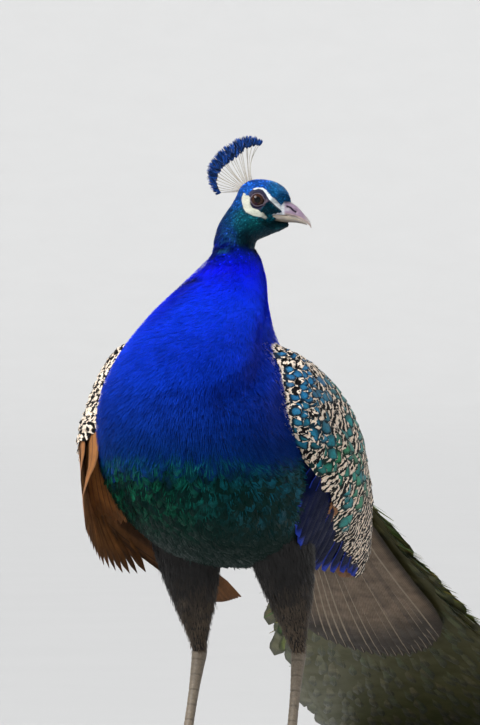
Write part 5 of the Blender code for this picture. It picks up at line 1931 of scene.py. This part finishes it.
        pallor = 0.38 + 0.12 * shoulder + 0.06 * ease(across, 0.55, 0.1) + self.rng.normal(0, 0.10, count)
        pallor = pallor - 0.16 * ease(place, 0.04, 0.14)
        size = self.rng.uniform(0.88, 1.12, count)
        mark = np.stack([glossy, pallor, chance, length * size * 10], 1)
        return COVERT.grow(self.form, a, b, heading, length * size, width * size, 0.0042, stand, teal,
                           self.rng, mark, cells=True, tilt=0.13)

    def quills(self, roots: Array, degrees: Array, length: Array, width: float, tone: Array, turn: Array,
               sink: float, stand: Array) -> Form:
        """Long feathers rooted at distances along the trunk's axis and angles from the back.

        Args:
            roots, degrees: the distances and angles.
            length, width, tone: of each feather.
            turn: how far each one turns downwards.
            sink, stand: how deep it is rooted and how far its tip stands.

        Returns:
            One form with all of them.
        """
        a = (roots - self.FRONT) / (self.REAR - self.FRONT)
        b = self.share_of(a, degrees)
        heading = unit(self.form.along(a, b) + self.form.aside(a, b) * turn[:, None])
        return QUILL.grow(self.form, a, b, heading, length, width, sink, stand, tone, self.rng, cells=True,
                          tilt=0.04, shade=(0.85, 1.05), lean=0.16 * self.side)

    def curtain(self, tone: Array) -> Form:
        """Quills that hang side by side between wing and belly, on a sheet between four corners."""
        down, across = (k[..., None] for k in mesh_of(np.linspace(0, 1, 24), np.linspace(0, 1, 16)))
        outer = self.CURTAIN[0] + (self.CURTAIN[1] - self.CURTAIN[0]) * down
        inner = self.CURTAIN[2] + (self.CURTAIN[3] - self.CURTAIN[2]) * down
        bow = np.array([0.0, -0.006, 0.0]) * np.sin(math.pi * down)
        sheet = Surface((outer + (inner - outer) * across + bow) * [-self.side, 1, 1])
        a, b = np.zeros(len(tone)), np.linspace(0.04, 0.96, len(tone))
        length = self.rng.uniform(0.100, 0.116, len(tone))
        return QUILL.grow(sheet, a, b, sheet.along(a, b), length, 0.0165, 0.0, 0.0010, tone, self.rng,
                          cells=True, tilt=0.04, shade=(0.85, 1.05), lean=0.16)

    def build(self, coverts: bpy.types.Material, dark: bpy.types.Material,
              chestnut: bpy.types.Material) -> None:
        """Make the wing's pieces."""
        left = self.name == "left"
        nodes = tuple(f"{self.name}_wing_{part}" for part in ("coverts", "secondaries", "primaries"))
        add_piece(f"{self.name}_wing_bed", self.bed(), dark, nodes)
        batches = [self.covert_rows(*batch) for batch in self.COVERTS]
        for number, form in enumerate(batches):
            add_piece(f"{self.name}_wing_covert_rows_{number + 1}", form, coverts)
        share = np.linspace(0, 1, 17)
        if left:
            start, turn = -0.046 + 0.22 * share, 1.15 - 0.95 * share
            low = 99 + 5 * ease(share, 0, 0.5) - 14 * ease(share, 0.5, 1.0)
        else:
            start, turn, low = 0.010 + 0.20 * share, 0.45 - 0.25 * share, 88 - 14 * share
        secondaries = self.quills(start, low, 0.085 + 0.075 * share, 0.021 + 0.003 * left, tint(22, 48, 150),
                                  turn, 0.0045, 0.0002 + 0.0007 * share)
        add_piece(f"{self.name}_wing_quills", secondaries, dark)
        brown = np.tile(tint(166, 108, 56), (14, 1))
        share = np.linspace(0, 1, 10)
        start = self.PRIMARY_START[self.name] + 0.045 * share
        forms = [self.quills(start, 101 + 13 * share, (0.378 - start) * (1.02 - 0.14 * share), 0.0225,
                             brown[:10], -0.06 + 0.05 * share, 0.0030,
                             -0.0030 - 0.0055 * left + 0.0035 * (1 - share))]
        if not left:
            share = np.linspace(0, 1, 14)
            forms.append(self.quills(-0.090 + 0.127 * share, 100 - 11 * share, 0.115 + 0.050 * share, 0.0190,
                                     brown * (0.85 + 0.3 * self.rng.random((14, 1))), 3.6 - 2.9 * share,
                                     0.0042, 0.0032 - 0.0028 * share))
            forms.append(self.curtain(brown[:6] * (0.80 + 0.3 * self.rng.random((6, 1)))))
        add_piece(f"{self.name}_wing_primary_quills", Form.join(forms), chestnut)


# ---- Train and tail -------------------------------------------------------------------------------
@dataclass
class Train:
    """The folded train: scales over the back, then plumes with loose barbs, shafts and eyes.

    Tables run over the distance backwards (m).

    Attributes:
        body: the body's outline.
        rng: the random source.
    """

    body: Surface
    rng: np.random.Generator
    TOP = ((0.150, 0.4720), (0.20, 0.4600), (0.26, 0.4400), (0.33, 0.4020), (0.45, 0.3200), (0.60, 0.2220),
           (0.75, 0.1430), (0.90, 0.0880), (1.05, 0.0570), (1.20, 0.0400), (1.35, 0.0270), (1.50, 0.0080))
    UNDER = ((0.150, 0.3000), (0.26, 0.3200), (0.33, 0.3390), (0.45, 0.2620), (0.60, 0.1700), (0.75, 0.0960),
             (0.90, 0.0380), (0.98, 0.0120), (1.04, 0.0000), (1.50, 0.0000))
    WIDTH = ((0.150, 0.020), (0.20, 0.038), (0.26, 0.045), (0.33, 0.052), (0.42, 0.072), (0.55, 0.108),
             (0.70, 0.138), (0.90, 0.162), (1.10, 0.172), (1.28, 0.155), (1.40, 0.122), (1.47, 0.080),
             (1.50, 0.030))
    START, END = 0.150, 1.500
    REACH = END - START
    TAIL_WIDTH = ((0.340, 0.030), (0.50, 0.068), (0.62, 0.088), (0.68, 0.066))
    # Batches of scales: start and end, distances between rows and between neighbours, length, width, stand.
    SCALES = (((0.150, 0.290), (0.0085, 0.0095), 0.024, 0.0165, 0.0012),
              ((0.270, 0.430), (0.0125, 0.0135), 0.036, 0.0230, 0.0016),
              ((0.410, 0.620), (0.0200, 0.0185), 0.056, 0.0300, 0.0018))
    PLUME = 0.215
    BARBS = 76

    def __post_init__(self) -> None:
        """Work out the train's surface once."""
        self.form, self.under = self.surface()

    def share(self, y: float) -> float:
        """How far along the train a distance backwards lies."""
        return (y - self.START) / self.REACH

    def surface(self) -> tuple:
        """Upper surface and underside: edge + (top - edge) * cos(v * 90 degrees)^1.3 over the width."""
        y, v = mesh_of(np.linspace(self.START, self.END, 220), np.linspace(-1, 1, 41))
        x = curve(self.WIDTH, y) * v
        under = np.maximum(curve(self.UNDER, y), 0.0)
        flesh = self.body.points[:230:2].reshape(-1, 3)
        upper = flesh[self.body.normals[:230:2].reshape(-1, 3)[:, 2] > 0.05]
        near = y < 0.42
        height = nearest_value(np.stack([x[near], y[near]], 1), upper[:, :2].astype(np.float32), upper[:, 2])
        on_back = under.copy()
        on_back[near] = np.maximum(under[near], height + 0.0018)
        under = np.where(y > 0.345, under, on_back)
        edge = under + 0.0030 - 0.0075 * ease(y, 0.200, 0.152)
        crown = np.cos(v * math.pi / 2 * 0.999) ** 1.3 * ease(y, 0.135, 0.240)
        top = np.maximum(edge + (np.maximum(curve(self.TOP, y), edge + 0.001) - edge) * crown, edge)
        for _ in range(3):
            top[1:-1] = (top[:-2] + top[2:] + 2 * top[1:-1]) / 4
        return Surface(np.stack([x, y, top], 2)).facing((150, 20), UPWARD), np.stack([x, y, under], 2)

    def bed(self) -> Form:
        """A closed form under the plumes, a little thinner and narrower than the train."""
        top, low = self.form.points[2:-9].copy(), self.under[2:-9].copy()
        top[..., 2] = np.maximum(top[..., 2] - 0.0060, low[..., 2] + 0.0012)
        low[..., 2] = np.minimum(low[..., 2] + 0.0004, top[..., 2] - 0.0006)
        ring = np.concatenate([top, low[:, ::-1]], axis=1)
        ring[..., 2] -= 0.011 * ease(ring[..., 1], 0.270, 0.170)
        ring[..., 0] *= 0.97 - 0.14 * ease(ring[..., 1], 1.10, 1.40)
        share = np.linspace(0, 1, len(ring))[:, None]
        return loft_form(ring, mix(tint(58, 52, 30), tint(70, 62, 36), share))

    def scales(self, span: tuple, gap: tuple, length: float, width: float, stand: float) -> Form:
        """A batch of scale feathers from the table SCALES, bronze green with dark rims.

        Args:
            span, gap: start and end, and distances between rows and neighbours.
            length, width, stand: of one feather, and how far its tip stands.

        Returns:
            One form with the batch.
        """
        rows = self.form.rows_apart(self.share(span[0]), self.share(span[1]), gap[0], np.array([0.5]))
        a, b = self.form.lattice(rows, gap[1], self.rng, (0.02, 0.98), jitter=0.12)
        tone = mix(tint(44, 116, 58, 1.15), tint(120, 122, 36, 1.15), self.rng.random(len(a)))
        size = self.rng.uniform(0.92, 1.08, len(a))
        return ROUND.grow(self.form, a, b, self.form.along(a, b), length * size, width * size, 0.0045, stand,
                          tone, self.rng, tilt=0.06)

    def plumes(self) -> tuple:
        """Shares and distances of every plume's eye: staggered rows from the back to the end."""
        a, b = [], []
        for k, y in enumerate(np.arange(0.575, 1.478, 0.0405)):
            wide = 2 * float(curve(self.WIDTH, np.array([y]))[0])
            count = max(2, int(wide / 0.050))
            place = (np.arange(count) + 0.5 + 0.5 * (k % 2)) / (count + 0.5)
            place = np.clip(place + self.rng.uniform(-0.25, 0.25, count) / count, 0.05, 0.95)
            a.append(self.share(y + self.rng.uniform(-0.014, 0.014, count)))
            b.append(place)
        return np.concatenate(a), np.concatenate(b)

    def build(self) -> None:
        """Make the train's and the tail's pieces."""
        bronze = Plumage("train_scales", gloss=(0.9, 1.0, 0.5, 1.0), roughness=0.40, level=0.6, barbs=20.0,
                         depth=0.25, edge=0.75, vary=(0.75, 1.3), shaft=0.03,
                         shaft_colour=(0.10, 0.08, 0.03)).make()
        loose = Plumage("train_barbs", gloss=(0.9, 1.0, 0.5, 1.0), sheen=(0.6, 0.9, 0.3, 1.0), roughness=0.45,
                        level=0.5, barbs=3.0, depth=0.1, vary=(0.7, 1.35), cloud=25.0).make()
        nodes = ("train_base", "train_upper", "train_middle", "train_end")
        add_piece("train_bed", self.bed(), loose, nodes)
        scales = Form.join([self.scales(*batch) for batch in self.SCALES])
        add_piece("train_scale_rows", scales, bronze)
        tip_a, b = self.plumes()
        disc = 0.046 * self.rng.uniform(0.9, 1.08, len(b)) * (0.78 + 0.22 * ease(tip_a, 0.25, 0.55))
        a = tip_a - disc / self.REACH
        outline = tuple((u, math.sqrt(max(1 - (2 * u - 1) ** 2, 0.0)) + 0.03) for u in np.linspace(0, 1, 13))
        eyes = Blade(rows=15, columns=13, outline=outline, camber=0.12, rise=0.9).grow(
            self.form, a, b, self.form.along(a, b), disc, disc * 0.86, 0.0012, 0.0034, np.ones(3), self.rng,
            cells=True, tilt=0.10)
        add_piece("train_eyes", eyes, EyeSpot().make())
        self.loose_barbs(a, b, loose)
        self.lining(bronze)
        self.tail()

    def loose_barbs(self, eye_a: Array, eye_b: Array, finish: bpy.types.Material) -> None:
        """Barbs along both sides of each plume's last stretch, round its eye, and its pale shaft.

        Each barb leaves the shaft at a slant of 30 to 50 degrees; barbs far from the eye lie deeper.
        """
        form, count = self.form, (len(eye_a), self.BARBS)
        back = np.linspace(-0.034, self.PLUME, self.BARBS)[None] + self.rng.uniform(-0.002, 0.002, count)
        a = np.maximum(eye_a[:, None] - back / self.REACH, 0.02).ravel()
        b = np.repeat(eye_b, self.BARBS)
        far = np.maximum(back, 0).ravel()
        by_eye = ease(back.ravel(), 0.012, -0.02)
        along = form.along(a, b)
        beside = np.cross(along, form.out(a, b))
        barb = Blade(rows=4, columns=2, outline=((0, 0.6), (0.5, 1.0), (1, 0.25)), camber=0.0, rise=1.0)
        for name, way in SIDES:
            slant = np.radians(40 + self.rng.normal(0, 6, len(a)) - 12 * by_eye)[:, None]
            heading = along * np.cos(slant) + beside * way * np.sin(slant)
            length = (0.040 - 0.004 * by_eye) * self.rng.uniform(0.8, 1.15, len(a))
            tone = mix(tint(62, 104, 46, 1.1), tint(128, 104, 44, 1.1), self.rng.random(len(a)))
            barbs = barb.grow(form, a, b, heading, length, 0.0019, 0.0018 + 0.016 * far, 0.0020 - 0.012 * far,
                              tone, self.rng, tilt=0.35)
            add_piece(f"train_barbs_{name}", barbs, finish)
        root = eye_a - self.PLUME / self.REACH
        shafts = Blade(rows=12, columns=3, outline=((0, 1.0), (1, 0.45)), camber=0.5, rise=1.0).grow(
            form, root, eye_b, form.along(root, eye_b), np.full(len(root), self.PLUME + 0.017), 0.0017,
            0.0040, 0.0022, tint(196, 176, 130), self.rng, tilt=0.0, shade=(1.0, 0.85))
        add_piece("train_shafts", shafts, finish)

    def lining(self, finish: bpy.types.Material) -> None:
        """The train's underside: long dull feathers in rows, down to where it meets the floor."""
        form = Surface(self.under + [0, 0, 0.0008]).facing((120, 20), -UPWARD)
        rows = form.rows_apart(self.share(0.350), self.share(0.930), 0.034, np.array([0.5]))
        a, b = form.lattice(rows, 0.0135, self.rng, (0.03, 0.97), jitter=0.25)
        fan = 0.45 * (b - 0.5) + self.rng.normal(0, 0.05, len(a))
        heading = unit(form.along(a, b) + form.aside(a, b) * fan[:, None])
        tone = mix(tint(60, 70, 40), tint(92, 84, 54), self.rng.random(len(a)))
        lining = Blade(rows=9, columns=5, outline=QUILL.outline, camber=0.2, rise=0.9).grow(
            form, a, b, heading, self.rng.uniform(0.085, 0.105, len(a)), 0.0200, 0.0012, 0.0012, tone,
            self.rng, tilt=0.10, shade=(0.7, 1.05))
        add_piece("train_lining", lining, finish)

    def tail(self) -> None:
        """The stiff brown tail feathers that carry the train from below."""
        y, v = mesh_of(np.linspace(0.340, 0.680, 40), np.linspace(-1, 1, 21))
        top = curve(self.UNDER, y) - 0.0030 - 0.004 * v ** 2
        grid = np.stack([curve(self.TAIL_WIDTH, y) * v, y, top], 2)
        brown = Plumage("tail_feathers", roughness=0.6, barbs=34.0, depth=0.30, vary=(0.7, 1.3), edge=0.80,
                        rim=(0.45, 0.95), shaft=0.06, shaft_colour=(0.30, 0.24, 0.17)).make()
        ring = np.concatenate([grid - [0, 0, 0.0016], (grid - [0, 0, 0.0028])[:, ::-1]], axis=1)
        ring = ring * [0.86, 1, 1]
        form = Surface(grid - [0, 0, 0.0040]).facing((20, 10), -UPWARD)
        a, b = np.zeros(18), np.linspace(0.06, 0.94, 18)
        order = np.abs(2 * b - 1)
        quills = QUILL.grow(form, a, b, form.along(a, b), 0.372 * (1 - 0.20 * order ** 2), 0.036, 0.0,
                            0.0006 + 0.0008 * order, tint(112, 94, 76), self.rng, tilt=0.02,
                            shade=(0.85, 1.1), lean=0.10)
        bed = loft_form(ring[:-14], tint(60, 50, 42))
        add_piece("tail_quills", Form.join([bed, quills]), brown, ("tail",))


# ---- Legs -----------------------------------------------------------------------------------------
@dataclass
class Leg:
    """One bare leg: a scuted shank with its spur, four padded toes and their claws.

    Attributes:
        name: left or right.
        side: 1 or -1.
    """

    name: str
    side: float
    SHANK = 0.0062
    TOE = 0.0052
    SWELL = ((-0.05, 1.15), (0, 1.30), (0.12, 1.15), (0.3, 0.92), (0.7, 0.90), (0.9, 1.05), (1.03, 1.20))
    # Each toe's name, its direction in degrees outwards from straight ahead, and its length.
    TOES = (("inner", -30.0, 0.046), ("middle", 3.0, 0.062), ("outer", 34.0, 0.049), ("hind", 170.0, 0.024))
    LOWEST = 0.0001

    def scuted(self, path: Array, radii: Array, beside: tuple, plates: float, front: Array,
               floor: bool = True) -> Form:
        """A limb whose front carries overlapping plates: radius + plate height * sawtooth of the way along.

        Args:
            path, radii: the limb's middle line and radii.
            beside: a direction that the path never takes.
            plates: how many plates lie along it.
            front: the direction that the plates face.
            floor: whether points under the floor are laid flat on it.

        Returns:
            The painted limb.
        """
        around = 30
        rings = tube_rings(path, radii, around, beside)
        out = unit(rings - path[:, None])
        facing = ease(dot(out, front), 0.05, 0.55)
        t = np.linspace(0, 1, len(path))[:, None]
        saw = (t * plates) % 1
        groove = np.exp(-((saw - 0.5) ** 2 - 0.25) ** 2 / 0.004)
        turn = circle(around)[None]
        stagger = (np.floor(t * plates * 1.3) % 2) * math.pi
        pebble = 0.5 + 0.5 * np.sin(turn * 9 + stagger) * np.sin(t * plates * 8.2)
        height = facing * (0.00042 * saw - 0.00034 * groove) + (1 - facing) * 0.00022 * pebble
        rings = rings + out * height[..., None]
        if floor:
            rings[..., 2] = np.maximum(rings[..., 2], self.LOWEST)
        light = (1 - facing) * (0.80 + 0.25 * pebble) + facing * (1.05 - 0.45 * groove)
        return loft_form(rings, tint(128, 116, 100) * light[..., None])

    def point(self, path: Array, radii: Array, around: int, root: Array, tip: Array) -> Form:
        """A horny point along a path that never goes under the floor, from one colour to another.

        Args:
            path, radii: its middle line and radii.
            around: points on each ring.
            root, tip: its colours.

        Returns:
            The closed form.
        """
        rings = tube_rings(path, radii, around)
        rings[..., 2] = np.maximum(rings[..., 2], self.LOWEST)
        return loft_form(rings, mix(root, tip, np.linspace(0, 1, len(path))[:, None]))

    def toe(self, hub: Array, ahead: Array, length: float) -> tuple:
        """A padded toe and its claw, in one direction from the hub.

        Args:
            hub: where the toes meet, on the floor.
            ahead: the toe's direction.
            length: from hub to tip.

        Returns:
            The toe's form and the claw's form.
        """
        t = np.linspace(0, 1, 56)
        pads = 1 + 0.10 * np.abs(np.sin(3 * math.pi * t)) - 0.30 * t
        radii = self.TOE * pads * (1 - 0.5 * ease(t, 0.90, 1.0))
        path = hub + ahead * (0.002 + length * t[:, None]) + UPWARD * (0.75 * radii)[:, None]
        k = np.linspace(0, 1, 22)[:, None]
        claw = hub + ahead * (length - 0.0040)
        claw = claw + ahead * 0.0195 * k + UPWARD * (0.0042 + 0.0022 * k - 0.0056 * k ** 2.2)
        return (self.scuted(path, radii, (0.0, 0.0, 1.0), length / 0.0038, UPWARD),
                self.point(claw, 0.0030 * (1 - k[:, 0]) ** 0.8 + 0.0004, 14, tint(70, 60, 54),
                           tint(38, 32, 30)))

    def build(self, scales: bpy.types.Material, horn: bpy.types.Material) -> None:
        """Make the leg's pieces in place of its nodes."""
        mirror = np.array([self.side, 1, 1])
        heel, ankle = HEEL * mirror, ANKLE * mirror
        t = np.linspace(-0.05, 1.03, 100)
        back = np.cross(unit(ankle - heel), [1.0, 0, 0])
        back = back if back[1] > 0 else -back
        hub = np.array([self.side * ANKLE[0], ANKLE[1] - 0.006, 0.0])
        rise = np.linspace(0, 1, 30)[:, None]
        forms = [self.scuted(heel + (ankle - heel) * t[:, None], self.SHANK * curve(self.SWELL, t),
                             (0.0, 1.0, 0.0), 27.0, -back, floor=False),
                 self.scuted((hub + [0, 0, 0.0045]) * (1 - rise) + ankle * rise,
                             np.linspace(0.0098, 0.0076, 30), (0.0, 1.0, 0.0), 5.0, np.array([0, -1.0, 0.2]))]
        claws = []
        for _, degrees, length in self.TOES:
            turn = math.radians(degrees * self.side)
            toe, claw = self.toe(hub, np.array([math.sin(turn), -math.cos(turn), 0.0]), length)
            forms.append(toe)
            claws.append(claw)
        root = heel + (ankle - heel) * 0.62 + back * (self.SHANK - 0.0010)
        k = np.linspace(0, 1, 24)[:, None]
        claws.append(self.point(root + back * 0.0225 * k + np.array([0, 0, 0.006]) * k ** 2,
                                0.0043 * (1 - k[:, 0]) ** 0.7 + 0.0005, 16, tint(96, 86, 76),
                                tint(60, 52, 46)))
        add_piece(f"{self.name}_leg", Form.join(forms), scales,
                  (f"{self.name}_shank", f"{self.name}_foot"))
        nodes = tuple(f"{self.name}_{toe}_claw" for toe, _, _ in self.TOES)
        add_piece(f"{self.name}_claws", Form.join(claws), horn, nodes + (f"{self.name}_spur",))


# ---- Studio ---------------------------------------------------------------------------------------
@dataclass
class Studio:
    """A pale floor that sweeps up far away, soft lights and the camera.

    Attributes:
        distance: from the camera to the bird.
        look_at: the middle of the view: across it, and up.
        tall: height of the view at the bird.
    """

    distance: float = 8.0
    look_at: tuple = (0.022, 0.48125)
    tall: float = 0.7975
    UNDER = 0.0002

    def floor(self) -> None:
        """A round floor, flat to 34 m and then rising as a quarter of a wide bowl."""
        bowl = np.linspace(0.1, 1.35, 20)
        radius = np.concatenate([[0.01], np.linspace(2, 34, 12), 34 + 22 * np.sin(bowl)])[:, None]
        height = np.concatenate([np.zeros(13), 22 * (1 - np.cos(bowl))])[:, None] - self.UNDER
        turn = circle(96)
        rings = np.stack([radius * np.cos(turn), radius * np.sin(turn), height + 0 * turn], -1)
        mesh = bpy.data.meshes.new("floor")
        mesh.from_pydata(rings.reshape(-1, 3).tolist(), [], grid_faces(len(radius), 96, True).tolist())
        mesh.shade_smooth()
        mesh.materials.append(Ground().make())
        add_object("floor", mesh)

    def lamp(self, name: str, place: tuple, size: float, power: float) -> None:
        """A square soft light aimed at the bird's neck."""
        data = bpy.data.lights.new(name, "AREA")
        data.size, data.energy = size, power
        made = add_object(name, data)
        made.location = place
        aim = np.array([0, -0.7, 0.45]) - np.array(place)
        made.rotation_euler = Vector(aim).to_track_quat("-Z", "Y").to_euler()

    def sun(self, name: str, towards: tuple, breadth: float, strength: float) -> None:
        """A wide even light from one side of the sky, as soft as a large window."""
        data = bpy.data.lights.new(name, "SUN")
        data.angle, data.energy = math.radians(breadth), strength
        add_object(name, data).rotation_euler = Vector(towards).to_track_quat("Z", "Y").to_euler()

    def build(self) -> None:
        """Make floor, lights, pale surroundings and the camera."""
        self.floor()
        self.sun("key", (-0.36, -0.78, 0.88), 34.0, 3.5)
        self.sun("back", (0.5, 0.8, 0.7), 30.0, 0.5)
        self.lamp("catchlight", (-1.0, -2.6, 2.2), 0.9, 9.0)
        scene = bpy.context.scene
        scene.world = bpy.data.worlds.new("studio")
        scene.world.use_nodes = True
        sky = scene.world.node_tree.nodes["Background"].inputs
        sky[0].default_value, sky[1].default_value = (0.93, 0.95, 1.0, 1.0), 0.36
        scene.view_settings.view_transform = "Standard"
        data = bpy.data.cameras.new("camera")
        data.sensor_fit, data.sensor_width = "AUTO", 36.0
        data.lens = 36.0 * self.distance / self.tall
        data.clip_start, data.clip_end = 0.1, 200.0
        scene.camera = add_object("camera", data)
        middle = HEAD_AHEAD * self.look_at[0] + UPWARD * self.look_at[1] + SHIFT
        scene.camera.location = middle - HEAD_LEFT * self.distance
        scene.camera.rotation_euler = Vector(HEAD_LEFT).to_track_quat("-Z", "Y").to_euler()


def main() -> None:
    """Build the bird, its studio and its camera, and report each piece."""
    logging.basicConfig(level=logging.INFO, format="%(name)s: %(message)s")
    rng = np.random.default_rng(2407)
    outline = body_outline()
    Studio().build()
    Skin(outline).build()
    Eyes().build()
    Bill().build()
    Crest(rng).build()
    BodyCoat(outline, rng).build()
    coverts = BarredVanes().make()
    dark = Plumage("blue_black_quills", gloss=(0.1, 0.3, 1.0, 1.0), roughness=0.50, level=0.12, barbs=40.0,
                   sheen_weight=0.0, depth=0.2, vary=(0.7, 1.4), edge=-0.92, rim=(0.80, 0.98), shaft=0.035,
                   shaft_colour=(0.01, 0.01, 0.02)).make()
    chestnut = Plumage("chestnut_quills", roughness=0.62, level=0.25, barbs=60.0, depth=0.22,
                       vary=(0.70, 1.3), edge=0.45, shaft=0.05, shaft_colour=(0.10, 0.045, 0.02)).make()
    for name, side in SIDES:
        Wing(name, side, outline, rng).build(coverts, dark, chestnut)
    Train(outline, rng).build()
    scales = Hide("leg_scales", roughness=0.55, pebble=520.0, relief=0.5, cloud=200.0).make()
    horn = Hide("claw_horn", roughness=0.38, pebble=300.0, relief=0.15, stretch=(1, 1, 0.4)).make()
    for name, side in SIDES:
        Leg(name, side).build(scales, horn)


if __name__ == "__main__":
    main()
